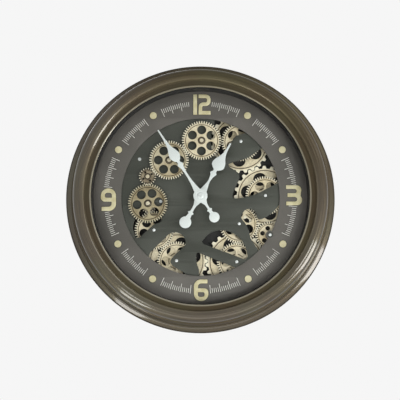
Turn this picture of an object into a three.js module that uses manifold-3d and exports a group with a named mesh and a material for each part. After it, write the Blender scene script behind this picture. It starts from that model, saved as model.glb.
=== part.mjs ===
// Gear wall clock, 600 mm across, in millimetres. The origin is the point on the wall plane where the
// wall screw carries the clock, +Z is up and the clock faces -Y.
// Inside, the clock is built in dial space: x to the right, y up and z away from the wall, with the
// dial's centre at x = y = 0. One parent group turns that space upright.
import * as THREE from "three";
import { mergeVertices } from "three/addons/utils/BufferGeometryUtils.js";
import Module from "manifold-3d";

// Clearances
const SEAT = 0.3; // between pieces that rest on each other
const RUNNING = 0.3; // between a pin or a tube and the hole round it
const HAND_GAP = 2; // between pieces that pass over each other in front of the dial
const OVERCUT = 1; // how far a cutting tool reaches past the face it cuts

// Case
const RIM_RADIUS = 300; // the rear bead's outermost circle
const RIM_BEAD = 7; // the rear bead's radius
const RIM_DEPTH = 12; // the rear bead's height above the wall
const REAR_EDGE_WIDTH = 8; // the flat rear edge that lies on the wall
const COVE_WIDTH = 19.5; // from the rim in to the fillet between the cove and the quarter round
const STEP_DROP = 21; // from the front band down to that fillet
const FILLET = 1.6;
const ROUND_WIDTH = 14.5; // from that fillet in to the front band
const BAND_WIDTH = 14;
const BAND_FALL = 4; // the band falls this much towards the glass
const LIP_BEAD = 2.2; // radius of the bead that holds the glass
const BEZEL_WALL = 4;
const BAND_ABOVE_GLASS = 17; // from the glass's front face to the front band
const PANEL_RECESS = 8; // from the wall to the back panel
const PANEL_THICKNESS = 5;
const PANEL_INSET = 18; // from the rim in to the back panel's edge
const LEDGE_WIDTH = 12; // the bezel's inner ledge, which the back panel is screwed to
const LEDGE_THICKNESS = 7;
const FACE_WIDTH = 30; // from the front band's outer edge in to the dark wall round the dial
const LINER_WALL = 5.5;
const LINER_LEDGE = 8; // the liner's ledge under the numeral ring
const LINER_LEDGE_THICKNESS = 4;
const GLASS_THICKNESS = 3;
const GASKET_THICKNESS = 1.2;

// Dial and plate. The dial's places, radii, cut-outs and wheels are drawn for one dial radius and
// grow with the real one.
const DRAWN_RADIUS = 236;
const RING_INNER = 174.3;
const RING_THICKNESS = 3.2;
const TAB_RADIUS = 9.5; // round tab of the numeral ring at wheel G
const PLATE_UNDER_RING = 37.7; // from the ring's inner edge out to the plate's edge
const PLATE_THICKNESS = 3;
const CUT_UNDER_RING = 3; // how far the plate's cut-outs reach under the numeral ring
const PILLAR_RADIUS = 5;
const SPIGOT_RADIUS = 2.6;

// Gear train
const FINE_MODULE = 1.75;
const COARSE_MODULE = 5.5;
const WHEEL_FACE = 4; // thickness of every wheel
const WHEEL_GAP = 2; // between the rear layers of wheels
const FRONT_GAP = 4.5; // from the plate to the front wheels
const PLATE_GAP = 1.5; // from the rear wheels to the plate
const STUD_RADIUS = 3;
const STUD_COLLAR = 5.5;
const STUD_COLLAR_THICKNESS = 2.4;
const PIN_HEAD_RADIUS = 4;
const PIN_HEAD_HEIGHT = 1.6;
const HEAD_TAPER = 0.65; // a head's flat top over its full radius
const HEAD_EDGE = 0.4; // a head's upright edge over its height
const CAP_RADIUS = 6.6; // round cap on the front studs
const CAP_HEIGHT = 3;
const CAP_NOSE_RADIUS = 3.6;
const HUB_RADIUS = 8;

// Hands
const HAND_THICKNESS = 2;
const HUB_DISC_RADIUS = 15.4;
const ARBOR_RADIUS = 2.7;
const PIPE_WALL = 1.6;
const BUSH_WALL = 1.8;
const BUSH_RISE = 8; // the threaded bush above the plate
const PIPE_ROOT = 4; // how far the pipe and the arbor start inside the movement
const NUT_RADIUS = 11;
const NUT_HEIGHT = 4;
const HAND_CAP_RADIUS = 6.8;
const HAND_CAP_HEIGHT = 4;

// Movement, motor and battery box
const MOVEMENT_SIZE = 56;
const MOVEMENT_THICKNESS = 16.5;
const CELL_RADIUS = 7.1;
const CELL_LENGTH = 49.2;
const CELL_TIP_RADIUS = 2.7;
const CELL_TIP = 1.3;
const CELL_POCKET_GAP = 0.5;
const CONTACT_ROOM = 2; // room for the contact springs along a cell
const MOVEMENT_CELL_Y = -17;
const KNOB_RADIUS = 8;
const KNOB_HEIGHT = 5;
const KNOB_STEM = 2.4;
const KNOB_AT = [0, 12];
const SERVICE_OPENING = 60; // square opening in the back panel behind the movement
const MOTOR_RADIUS = 18.5;
const MOTOR_CAN_HEIGHT = 8;
const MOTOR_SHAFT = 1.8;
const BOX_WALL = 1.8;
const BOX_DEPTH = 17.5;
const BOX_FLANGE = 4;
const DOOR_THICKNESS = 1.6;
const DOOR_PIN_RADIUS = 1.1;
const EAR_HEIGHT = 4.4; // the box's ears round the door pin
const EAR_RISE = 2; // the ears behind the pin
const SWITCH_FROM_BOX = [52, -22]; // from the battery box's centre to the switch
const SWITCH_TRAVEL = 4;
const SWITCH_KNOB = [5, 4, 3]; // width, height and rise of the slider behind the panel
const SWITCH_BASE = [16, 9, 1.2];

// Hanger and fasteners
const HANGER_THICKNESS = 1.4;
const HANGER_SIZE = [46, 48];
const HOOK_INSET = 47; // from the back panel's edge in to the wall screw
const HOOK_SLOT = 5.6; // width of the keyhole's slot
const HOOK_ENTRY = 11.2; // diameter of the keyhole's round hole
const HOOK_DROP = 14; // from the slot's end down to the round hole's centre
const HOOK_RELIEF = [15.2, 35.2]; // the back panel's cut-out for the screw head
const HANGER_SCREW_X = 18;
const SCREW_RADIUS = 1.7;
const SCREW_HEAD_RADIUS = 3.6;
const SCREW_HEAD_HEIGHT = 1.6;
const SCREW_GRIP = 5; // how far a screw goes into what it holds
const PANEL_SCREW_ANGLES = [45, 135, 225, 315];

// Facets
const CASE_FACETS = 48;
const SMALL_FACETS = 12;
const STUD_FACETS = 8; // studs, screws, pillars and the holes round them

// Radii of the case, worked out from the rim inwards
const stepRadius = RIM_RADIUS - COVE_WIDTH;
const bandRadius = stepRadius - ROUND_WIDTH;
const linerRadius = bandRadius - FACE_WIDTH;
const panelRadius = RIM_RADIUS - PANEL_INSET;
const hookHeight = panelRadius - HOOK_INSET; // from the dial's centre up to the wall screw
const dialScale = linerRadius / DRAWN_RADIUS;
const ringInner = RING_INNER * dialScale;
const plateRadius = ringInner + PLATE_UNDER_RING;
const onDial = (places) => places.map(([x, y]) => [x * dialScale, y * dialScale]);

// Places on the plate, from the dial's centre
const TRAIN_START = [-102.2, -73.3]; // wheel I, where the train is laid out from
const PLATE_SCREWS = onDial([
  [-134.5, 83.8],
  [-87.3, -10.1],
]);
const HIDDEN_PILLARS = onDial([
  [178, 76],
  [160, -126],
  [-140, -115],
]);
const [BOX_AT] = onDial([[-74, 100]]);
const SWITCH_AT = [BOX_AT[0] + SWITCH_FROM_BOX[0], BOX_AT[1] + SWITCH_FROM_BOX[1]];

// Depths above the wall, worked out from the back to the front
const panelFront = PANEL_RECESS + PANEL_THICKNESS;
const collarBack = panelFront + SEAT;
const layerOne = collarBack + STUD_COLLAR_THICKNESS + 2 * SEAT;
const layerTwo = layerOne + WHEEL_FACE + WHEEL_GAP;
const layerThree = layerTwo + WHEEL_FACE + WHEEL_GAP;
const plateBack = layerThree + WHEEL_FACE + PLATE_GAP;
const plateFront = plateBack + PLATE_THICKNESS;
const ringBack = plateFront + SEAT;
const ringFront = ringBack + RING_THICKNESS;
const frontLayer = plateFront + FRONT_GAP;
const capBack = frontLayer + WHEEL_FACE + SEAT;
const hourBack = capBack + CAP_HEIGHT + HAND_GAP;
const minuteBack = hourBack + HAND_THICKNESS + 2 * HAND_GAP;
const handCapBack = minuteBack + HAND_THICKNESS + SEAT;
const gasketBack = handCapBack + HAND_CAP_HEIGHT + HAND_GAP;
const glassBack = gasketBack + GASKET_THICKNESS + SEAT;
const glassFront = glassBack + GLASS_THICKNESS;
const bandFront = glassFront + BAND_ABOVE_GLASS;
const movementBack = plateBack - SEAT - MOVEMENT_THICKNESS;

// Materials
const finish = (color, roughness, metalness) =>
  new THREE.MeshStandardMaterial({ color, roughness, metalness });
const BRONZE = finish(0x5f5544, 0.42, 0.85);
const BLACK = finish(0x1c1b19, 0.7, 0);
const GLASS = new THREE.MeshStandardMaterial({
  color: 0xdfe8e6,
  roughness: 0.05,
  metalness: 0,
  transparent: true,
  opacity: 0.2,
});
const RUBBER = finish(0x222222, 0.9, 0);
const RING_GREY = finish(0x625f5a, 0.45, 0.7);
const PLATE_GREY = finish(0x50524c, 0.5, 0.6);
const CHAMPAGNE = finish(0xd8c898, 0.35, 0.8);
const OLIVE_GOLD = finish(0x9a8c62, 0.4, 0.8);
const CREAM = finish(0xe9e2c6, 0.35, 0.4);
const SILVER = finish(0xdfe2e0, 0.3, 0.8);
const STEEL = finish(0xb4b4b0, 0.35, 0.9);
const ZINC = finish(0x9c9c98, 0.45, 0.9);
const CELL_GREEN = finish(0x3f6b4a, 0.5, 0.2);
const MOTOR_GREY = finish(0x8d8f90, 0.4, 0.8);

const wasm = await Module();
wasm.setup();

const WELD = 1e-4; // vertices nearer than this are one vertex
const TAU = 2 * Math.PI;
const radians = (degrees) => (degrees * Math.PI) / 180;
const polar = (radius, angle) => [radius * Math.cos(angle), radius * Math.sin(angle)];

function solidOf(geometry) {
  const bare = geometry.clone();
  bare.deleteAttribute("normal");
  bare.deleteAttribute("uv");
  const merged = mergeVertices(bare, WELD);
  return new wasm.Manifold(
    new wasm.Mesh({
      numProp: 3,
      vertProperties: merged.attributes.position.array,
      triVerts: new Uint32Array(merged.index.array),
    }),
  );
}

function geometryOf(solid) {
  const mesh = solid.getMesh();
  return new THREE.BufferGeometry()
    .setAttribute("position", new THREE.BufferAttribute(new Float32Array(mesh.vertProperties), 3))
    .setIndex(new THREE.BufferAttribute(new Uint32Array(mesh.triVerts), 1));
}

// One geometry from the first one with the others joined to it.
function joined(first, ...others) {
  return geometryOf(others.reduce((sum, g) => sum.add(solidOf(g)), solidOf(first)));
}

// The first geometry with the others cut out of it.
function cut(first, ...tools) {
  return geometryOf(tools.reduce((rest, g) => rest.subtract(solidOf(g)), solidOf(first)));
}

const area = (profile) =>
  profile.reduce((sum, [r, z], i) => {
    const [nextR, nextZ] = profile[(i + 1) % profile.length];
    return sum + (r * nextZ - nextR * z) / 2;
  }, 0);

// A body turned about the dial's axis from a closed profile of [radius, depth] points.
function turned(profile, facets = SMALL_FACETS) {
  const outward = area(profile) > 0 ? profile : [...profile].reverse();
  const onAxis = outward.findIndex(([r], i) => r === 0 && outward.at(i - 1)[0] === 0);
  const loop = onAxis < 0
    ? [...outward, outward[0]]
    : [...outward.slice(onAxis), ...outward.slice(0, onAxis)];
  const points = loop.map(([r, z]) => new THREE.Vector2(r, z));
  return new THREE.LatheGeometry(points, facets).rotateX(Math.PI / 2);
}

const washer = (inner, outer, back, front, facets) =>
  turned([[inner, back], [outer, back], [outer, front], [inner, front]], facets);

const disc = (radius, back, front, facets) =>
  turned([[0, back], [radius, back], [radius, front], [0, front]], facets);

// Points of an arc, from one angle to another, both in degrees.
function arc(x, y, radius, from, to, steps) {
  return Array.from({ length: steps + 1 }, (_, i) => {
    const [dx, dy] = polar(radius, radians(from + ((to - from) * i) / steps));
    return [x + dx, y + dy];
  });
}

const circle = (x, y, radius, facets) => arc(x, y, radius, 0, 360, facets).slice(0, -1);

const pathOf = (points) => new THREE.Path(points.map(([x, y]) => new THREE.Vector2(x, y)));

// A flat sheet: an outline with holes, from one depth to another.
function sheet(outline, holes, back, front) {
  const shape = new THREE.Shape(outline.map(([x, y]) => new THREE.Vector2(x, y)));
  shape.holes = holes.map(pathOf);
  return new THREE.ExtrudeGeometry(shape, {
    depth: front - back,
    bevelEnabled: false,
  }).translate(0, 0, back);
}

const rectangle = (x, y, width, height) => [
  [x - width / 2, y - height / 2],
  [x + width / 2, y - height / 2],
  [x + width / 2, y + height / 2],
  [x - width / 2, y + height / 2],
];

const block = (x, y, width, height, back, front) =>
  sheet(rectangle(x, y, width, height), [], back, front);

const clock = new THREE.Group();
const dialSpace = new THREE.Group();
dialSpace.rotation.x = Math.PI / 2;
dialSpace.position.z = -hookHeight;
clock.add(dialSpace);

function piece(name, geometry, material, [x, y] = [0, 0], turn = 0) {
  const mesh = new THREE.Mesh(geometry, material);
  mesh.name = name;
  mesh.position.set(x, y, 0);
  mesh.rotation.z = turn;
  dialSpace.add(mesh);
}

// A screw seen from its head. It points to the wall where toWall is 1 and away from it where -1.
function screw(headSide, toWall, grip) {
  const step = (z) => headSide - toWall * z;
  return turned([
    [0, step(-SCREW_HEAD_HEIGHT)],
    [SCREW_HEAD_RADIUS * HEAD_TAPER, step(-SCREW_HEAD_HEIGHT)],
    [SCREW_HEAD_RADIUS, step(-SCREW_HEAD_HEIGHT * HEAD_EDGE)],
    [SCREW_HEAD_RADIUS, step(0)],
    [SCREW_RADIUS, step(0)],
    [SCREW_RADIUS, step(grip)],
    [0, step(grip)],
  ], STUD_FACETS);
}

// Case

const lipBack = glassFront + SEAT;
const glassRadius = linerRadius + LINER_WALL;
const pocketRadius = glassRadius + RUNNING + SEAT;
const ledgeBack = panelFront + SEAT;
const rearInner = panelRadius + 2 * RUNNING;

// The bezel's quarter round, from the fillet up to the front band.
function quarterRound(radius, depth) {
  const [width, height] = [radius - bandRadius, bandFront - depth];
  return arc(0, 0, 1, 0, 90, 3).map(([x, y]) => [bandRadius + width * x, depth + height * y]);
}

function bezelProfile() {
  const stepDepth = bandFront - STEP_DROP;
  const beadX = RIM_RADIUS - RIM_BEAD;
  const lipX = linerRadius + LIP_BEAD + 1;
  const bandInner = bandRadius - BAND_WIDTH;
  const shoulder = stepRadius + FILLET;
  const outside = [
    [rearInner, 0],
    [rearInner + REAR_EDGE_WIDTH, 0],
    ...arc(beadX, RIM_DEPTH, RIM_BEAD, -60, 105, 3),
    [shoulder + 3 * FILLET, RIM_DEPTH + 3 * RIM_BEAD],
    [shoulder, stepDepth - 3 * FILLET],
    ...arc(stepRadius, stepDepth, FILLET, 0, 90, 1),
    ...quarterRound(stepRadius - FILLET, stepDepth + FILLET),
    [bandInner, bandFront - BAND_FALL],
    ...arc(lipX, lipBack + LIP_BEAD, LIP_BEAD, 70, 250, 2),
  ];
  const inside = [
    [pocketRadius, lipBack],
    [bandInner + BEZEL_WALL, bandFront - BAND_FALL - 2 * BEZEL_WALL],
    [stepRadius - 2 * BEZEL_WALL, stepDepth - BEZEL_WALL],
    [rearInner - BEZEL_WALL, ledgeBack + LEDGE_THICKNESS + BEZEL_WALL],
    [rearInner - LEDGE_WIDTH, ledgeBack + LEDGE_THICKNESS],
    [rearInner - LEDGE_WIDTH, ledgeBack],
    [rearInner, ledgeBack],
  ];
  return [...outside, ...inside];
}

const panelScrewRadius = rearInner - LEDGE_WIDTH / 2 - 2 * RUNNING;
const panelScrewPlaces = PANEL_SCREW_ANGLES.map((a) => polar(panelScrewRadius, radians(a)));

function holeTools(places, radius, back, front, facets = STUD_FACETS) {
  return places.map(([x, y]) => disc(radius, back, front, facets).translate(x, y, 0));
}

function addCase() {
  const screwHoles = holeTools(
    panelScrewPlaces, SCREW_RADIUS + RUNNING, ledgeBack - OVERCUT, panelFront + SCREW_GRIP + OVERCUT);
  piece("bezel", cut(turned(bezelProfile(), CASE_FACETS), ...screwHoles), BRONZE);
  const ledge = linerRadius - LINER_LEDGE;
  piece("case_liner", turned([
    [linerRadius, ledgeBack],
    [glassRadius, ledgeBack],
    [glassRadius, gasketBack],
    [linerRadius, gasketBack],
    [linerRadius, plateFront],
    [ledge, plateFront],
    [ledge, plateFront - LINER_LEDGE_THICKNESS],
    [linerRadius, plateFront - LINER_LEDGE_THICKNESS],
  ], CASE_FACETS), BLACK);
  const gasketInner = linerRadius + SEAT;
  piece("glass_gasket", washer(
    gasketInner, glassRadius, gasketBack + SEAT, gasketBack + GASKET_THICKNESS, CASE_FACETS), RUBBER);
  piece("glass", disc(glassRadius, glassBack, glassFront, CASE_FACETS), GLASS);
}

// Back panel, hanger and their screws

const boxInner = [CELL_LENGTH + CELL_TIP + CONTACT_ROOM, 4 * CELL_RADIUS + 3 * CELL_POCKET_GAP];
const boxOuter = boxInner.map((size) => size + 2 * BOX_WALL);
const doorPinY = BOX_AT[1] + boxInner[1] / 2;
const hangerBottom = hookHeight - HOOK_DROP;
const switchSlot = [SWITCH_KNOB[0] + SWITCH_TRAVEL + 2 * RUNNING, SWITCH_KNOB[1] + 2 * RUNNING];
const hangerScrewPlaces = [-HANGER_SCREW_X, HANGER_SCREW_X].map((x) => [x, hangerBottom]);

function keyhole(slotWidth, entryDiameter) {
  const half = slotWidth / 2;
  const radius = entryDiameter / 2;
  const meet = (Math.asin(half / radius) * 180) / Math.PI;
  const slotEnd = hookHeight + HOOK_SLOT / 2 - half;
  return [
    ...arc(0, slotEnd, half, 0, 180, 4),
    ...arc(0, hangerBottom, radius, 90 + meet, 450 - meet, 8),
  ];
}

function addBack() {
  const relief = rectangle(0, hookHeight - HOOK_DROP / 2, ...HOOK_RELIEF);
  const switchX = SWITCH_AT[0] - SWITCH_TRAVEL / 2;
  const screwHole = SCREW_RADIUS + RUNNING;
  const pillarHoles = [...PLATE_SCREWS, ...HIDDEN_PILLARS];
  piece("back_panel", sheet(circle(0, 0, panelRadius, CASE_FACETS), [
    relief,
    rectangle(0, 0, SERVICE_OPENING, SERVICE_OPENING),
    rectangle(...BOX_AT, boxOuter[0] + 2 * RUNNING, boxOuter[1] + 2 * RUNNING),
    rectangle(switchX, SWITCH_AT[1], ...switchSlot),
    ...panelScrewPlaces.map(([x, y]) => circle(x, y, screwHole, STUD_FACETS)),
    ...hangerScrewPlaces.map(([x, y]) => circle(x, y, screwHole, STUD_FACETS)),
    ...pillarHoles.map(([x, y]) => circle(x, y, SPIGOT_RADIUS + RUNNING, STUD_FACETS)),
  ], PANEL_RECESS, panelFront), BLACK);
  panelScrewPlaces.forEach((place, i) => {
    const grip = PANEL_THICKNESS + SEAT + SCREW_GRIP;
    piece(`back_panel_screw_${i + 1}`, screw(PANEL_RECESS - SEAT, -1, grip), ZINC, place);
  });
  const hangerFront = PANEL_RECESS - SEAT;
  const hangerBack = hangerFront - HANGER_THICKNESS;
  piece("hanger_plate", sheet(
    rectangle(0, hookHeight - HOOK_DROP / 2, ...HANGER_SIZE),
    [
      keyhole(HOOK_SLOT, HOOK_ENTRY),
      ...hangerScrewPlaces.map(([x, y]) => circle(x, y, screwHole, STUD_FACETS)),
    ],
    hangerBack, hangerFront), ZINC);
  hangerScrewPlaces.forEach((place, i) => {
    const grip = HANGER_THICKNESS + SEAT + PANEL_THICKNESS;
    piece(`hanger_screw_${i + 1}`, screw(hangerBack - SEAT, -1, grip), ZINC, place);
  });
}

// Numeral ring and centre plate

const cutRadius = ringInner + CUT_UNDER_RING;

// A cut-out that opens under the numeral ring: an arc between two angles, then a smooth edge back.
function ringCut(from, to, edge) {
  const steps = Math.max(2, Math.round(Math.abs(to - from) / 9));
  return [...arc(0, 0, cutRadius, from, to, steps), ...smooth(edge)];
}

// A smooth open line through the points, with one point added between each two.
function smooth(points) {
  const spline = new THREE.SplineCurve(onDial(points).map(([x, y]) => new THREE.Vector2(x, y)));
  return spline.getPoints(2 * (points.length - 1)).map((p) => [p.x, p.y]);
}

const UPPER_CUT = ringCut(54, 79.5, [
  [29, 157], [25, 140], [24, 118], [27, 98], [36, 88.5], [52, 96], [61.5, 106], [67, 121], [81, 137],
]);
const RIGHT_CUT = ringCut(10.5, 38.5, [
  [132, 106], [105.7, 88], [89.7, 82.1], [72, 77.2], [61.1, 70.3], [76.9, 58.4], [84.8, 51.5],
  [85.7, 40.6], [80, 26.7], [73, 11.9], [72, -1.9], [84.8, -3], [105.7, 1], [127.4, 8.5], [155, 22.7],
]);
const LOWER_RIGHT_CUT = ringCut(-26, -4.5, [
  [168, -25], [154.4, -38.4], [142.4, -46], [128, -49.2], [121.5, -34], [114.1, -27.6], [104.8, -26.5],
  [96.6, -31.1], [89.3, -44.9], [99.2, -59.7], [107, -76], [110.3, -90.9], [121.4, -109.3],
]).concat(arc(0, 0, cutRadius, -43, -36.5, 1), smooth([
  [149, -93.5], [146.8, -86], [149, -79.5], [155, -77.5],
]));
const LENS_CUT = smooth([
  [2.9, -98.5], [19.5, -81.5], [41.4, -74.1], [64.7, -77.2], [85.5, -90.5], [98.1, -108.2],
  [103.4, -129.2], [100.5, -137.5],
]).concat(smooth([[93, -136.5], [53.8, -121.5], [7.1, -104.5]]));
const BOTTOM_CUT = ringCut(-91, -66, [
  [76.2, -155.6], [36, -139.5], [-4.4, -123],
]).concat(smooth([[-8.6, -124.5], [-9.5, -135.4], [-7.5, -148], [-3, -160.5]]));
const LOWER_LEFT_CUT = ringCut(-130.5, -99, [
  [-34, -168], [-58.7, -153.2], [-65.5, -142.2], [-58.7, -130.4], [-43.4, -116.8], [-32.4, -104],
  [-37.4, -87.2], [-53.6, -77.9], [-70, -83], [-82, -95], [-97.7, -110], [-110.3, -123.5],
]);
const LEFT_CUT = smooth([
  [-132.7, -27.5], [-112.7, -20.9], [-95, -22], [-85.4, -34], [-86.5, -54], [-102.6, -61.9],
  [-122.3, -79.4], [-137, -92],
]).concat(smooth([[-142, -90], [-148, -70.5], [-146.4, -55]]));

const PLATE_CUTS = [
  UPPER_CUT, RIGHT_CUT, LOWER_RIGHT_CUT, LENS_CUT, BOTTOM_CUT, LOWER_LEFT_CUT, LEFT_CUT,
];

const bushInner = ARBOR_RADIUS + RUNNING + PIPE_WALL + RUNNING;
const bushOuter = bushInner + BUSH_WALL;

// The train: each arbor's place and the turn of each of its wheels follow from the wheel before it.

const SIZES = {
  fine: { teeth: 48, module: FINE_MODULE * dialScale },
  third: { teeth: 34, module: FINE_MODULE * dialScale },
  pinion: { teeth: 20, module: FINE_MODULE * dialScale },
  coarse: { teeth: 24, module: COARSE_MODULE * dialScale },
  leaf: { teeth: 8, module: COARSE_MODULE * dialScale },
};
const pitchRadius = (size) => (SIZES[size].teeth * SIZES[size].module) / 2;

const [trainStart] = onDial([TRAIN_START]);
const arbors = { i: { at: trainStart, turns: { fine: 0 } } };

// Puts an arbor in mesh with another one, heading degrees from it, with tooth against gap.
function engage(from, fromSize, to, toSize, heading) {
  const angle = radians(heading);
  const turn = (arbors[from].turns[fromSize] ??= 0);
  const ratio = SIZES[fromSize].teeth / SIZES[toSize].teeth;
  const [dx, dy] = polar(pitchRadius(fromSize) + pitchRadius(toSize), angle);
  const [x, y] = arbors[from].at;
  arbors[to] = {
    at: [x + dx, y + dy],
    turns: { [toSize]: angle + Math.PI - ratio * (turn - angle) - Math.PI / SIZES[toSize].teeth },
  };
}

engage("i", "fine", "motor", "pinion", 36.8);
engage("i", "fine", "d", "pinion", 102.8);
engage("d", "fine", "c", "pinion", 90.8);
engage("c", "pinion", "b", "fine", 37.7);
engage("b", "fine", "a", "fine", 31.4);
engage("i", "fine", "j", "fine", -53.6);
engage("j", "coarse", "k", "coarse", -1);
engage("k", "fine", "h", "fine", 86);
engage("h", "fine", "g", "third", -20.2);
engage("g", "leaf", "f", "coarse", 96.2);
engage("f", "coarse", "e", "coarse", 113.9);

// How many teeth on each wheel is set in its mesh, so that its lightening holes stand as in the photo.
const TEETH_ON = {
  b: { fine: 4 },
  d: { fine: 1 },
  e: { fine: 3, coarse: -1 },
  f: { coarse: -1 },
  g: { third: -1 },
  h: { fine: -2 },
  i: { fine: 2 },
  j: { fine: -1, coarse: 1 },
};
for (const [name, shifts] of Object.entries(TEETH_ON)) {
  const { turns } = arbors[name];
  for (const [size, teethOn] of Object.entries(shifts)) {
    turns[size] = (turns[size] ?? 0) + (teethOn * TAU) / SIZES[size].teeth;
  }
}

// Tooth shapes: [share of the pitch, height over the pitch circle in modules] for each corner.
const FINE_TOOTH = [[0, 1], [0.5, -1.25]];
const COARSE_TOOTH = [[-0.28, -0.62], [-0.15, 0.48], [0.15, 0.48], [0.28, -0.62]];
const LEAF_TOOTH = [[-0.25, -0.65], [-0.125, 0.4], [0.125, 0.4], [0.25, -0.65]];
const TEETH = {
  fine: FINE_TOOTH, third: FINE_TOOTH, pinion: FINE_TOOTH, coarse: COARSE_TOOTH, leaf: LEAF_TOOTH,
};

function toothed(size, turn) {
  const { teeth, module } = SIZES[size];
  return Array.from({ length: teeth }, (_, i) =>
    TEETH[size].map(([share, height]) =>
      polar(pitchRadius(size) + height * module, turn + ((i + share) * TAU) / teeth)),
  ).flat();
}

// Round lightening holes: how many, how big and how far out, as shares of the pitch radius.
const LIGHTENING = {
  fine: { count: 6, radius: 0.222, out: 0.56 },
  third: { count: 6, radius: 0.17, out: 0.53 },
  pinion: { count: 4, radius: 0.15, out: 0.56 },
  coarse: { count: 6, radius: 0.222, out: 0.6 },
};

function lighteningHoles(size, turn) {
  const { count, radius, out } = LIGHTENING[size];
  const pitch = pitchRadius(size);
  return Array.from({ length: count }, (_, i) => {
    const [x, y] = polar(out * pitch, turn + (i * TAU) / count);
    return circle(x, y, radius * pitch, STUD_FACETS);
  });
}

const studBore = STUD_RADIUS + RUNNING;

// A wheel about its own centre, between two depths, with its bore.
function wheel(size, turn, back, pierced = true) {
  const bore = circle(0, 0, studBore, STUD_FACETS);
  const holes = pierced ? lighteningHoles(size, turn) : [];
  return sheet(toothed(size, turn), [bore, ...holes], back, back + WHEEL_FACE);
}

const hub = (back, front) => washer(studBore, HUB_RADIUS, back, front, STUD_FACETS);

const hubBack = layerOne;
const hubFront = plateBack - SEAT;

// A wheel on the rear studs, with a second size on the same hub where there is one.
function addRearWheel(name, front, frontLayerBack, rear, rearBack) {
  const { at, turns } = arbors[name];
  const parts = [wheel(front, turns[front] ?? 0, frontLayerBack)];
  if (rear) parts.push(wheel(rear, turns[rear], rearBack, rear === "coarse"));
  const solid = joined(hub(hubBack, hubFront), ...parts);
  piece(`wheel_${name}`, solid, CHAMPAGNE, at);
}

function addFrontWheel(name, size, material) {
  const { at, turns } = arbors[name];
  const boss = hub(plateFront + SEAT, frontLayer + WHEEL_FACE / 2);
  const solid = joined(wheel(size, turns[size] ?? 0, frontLayer), boss);
  piece(size === "pinion" ? `pinion_${name}` : `wheel_${name}`, solid, material, at);
}

// A rear stud: collar behind the wheels, shank, and the head seen on the face it is riveted to.
function rearStud(face) {
  const headBack = face + SEAT;
  return turned([
    [0, collarBack],
    [STUD_COLLAR, collarBack],
    [STUD_COLLAR, collarBack + STUD_COLLAR_THICKNESS],
    [STUD_RADIUS, collarBack + STUD_COLLAR_THICKNESS],
    [STUD_RADIUS, headBack],
    [PIN_HEAD_RADIUS, headBack],
    [PIN_HEAD_RADIUS * HEAD_TAPER, headBack + PIN_HEAD_HEIGHT],
    [0, headBack + PIN_HEAD_HEIGHT],
  ], STUD_FACETS);
}

const capProfile = (back) => [
  [CAP_RADIUS, back],
  [CAP_RADIUS, back + CAP_HEIGHT / 3],
  [CAP_NOSE_RADIUS, back + CAP_HEIGHT / 2],
  [CAP_NOSE_RADIUS, back + CAP_HEIGHT],
  [0, back + CAP_HEIGHT],
];

// A front stud: a rivet head behind the plate, a shank and the round cap in front of the wheel.
function frontStud() {
  const rivetFront = plateBack - SEAT;
  return turned([
    [0, rivetFront - PLATE_GAP / 2],
    [PIN_HEAD_RADIUS, rivetFront - PLATE_GAP / 2],
    [PIN_HEAD_RADIUS, rivetFront],
    [STUD_RADIUS, rivetFront],
    [STUD_RADIUS, capBack],
    ...capProfile(capBack),
  ], STUD_FACETS);
}

// The arbor that carries front wheel D, with its pinion behind the plate.
function throughArbor() {
  const { turns } = arbors.d;
  const pinion = sheet(toothed("pinion", turns.pinion), [], layerTwo, layerTwo + WHEEL_FACE);
  const shaft = turned([
    [0, layerTwo - WHEEL_GAP],
    [HUB_RADIUS, layerTwo - WHEEL_GAP],
    [HUB_RADIUS, hubFront],
    [STUD_RADIUS, hubFront],
    [STUD_RADIUS, capBack],
    ...capProfile(capBack),
  ], STUD_FACETS);
  return joined(pinion, shaft);
}

const REAR_STUDS = ["e", "f", "g", "h", "i", "j", "k"];
const FRONT_STUDS = ["a", "b", "c"];
const TAB_STUD = "g"; // this stud is riveted to a tab of the numeral ring

function addTrain() {
  addFrontWheel("a", "fine", CHAMPAGNE);
  addFrontWheel("b", "fine", OLIVE_GOLD);
  addFrontWheel("c", "pinion", STEEL);
  addFrontWheel("d", "fine", OLIVE_GOLD);
  addRearWheel("e", "fine", layerThree, "coarse", layerOne);
  addRearWheel("f", "fine", layerThree, "coarse", layerOne);
  addRearWheel("g", "third", layerTwo, "leaf", layerOne);
  addRearWheel("h", "fine", layerTwo);
  addRearWheel("i", "fine", layerTwo);
  addRearWheel("j", "fine", layerTwo, "coarse", layerOne);
  addRearWheel("k", "fine", layerTwo, "coarse", layerOne);
  piece("arbor_d", throughArbor(), CREAM, arbors.d.at);
  FRONT_STUDS.forEach((name) => piece(`stud_${name}`, frontStud(), CREAM, arbors[name].at));
  REAR_STUDS.forEach((name) => {
    const face = name === TAB_STUD ? ringFront : plateFront;
    piece(`stud_${name}`, rearStud(face), SILVER, arbors[name].at);
  });
}

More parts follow.
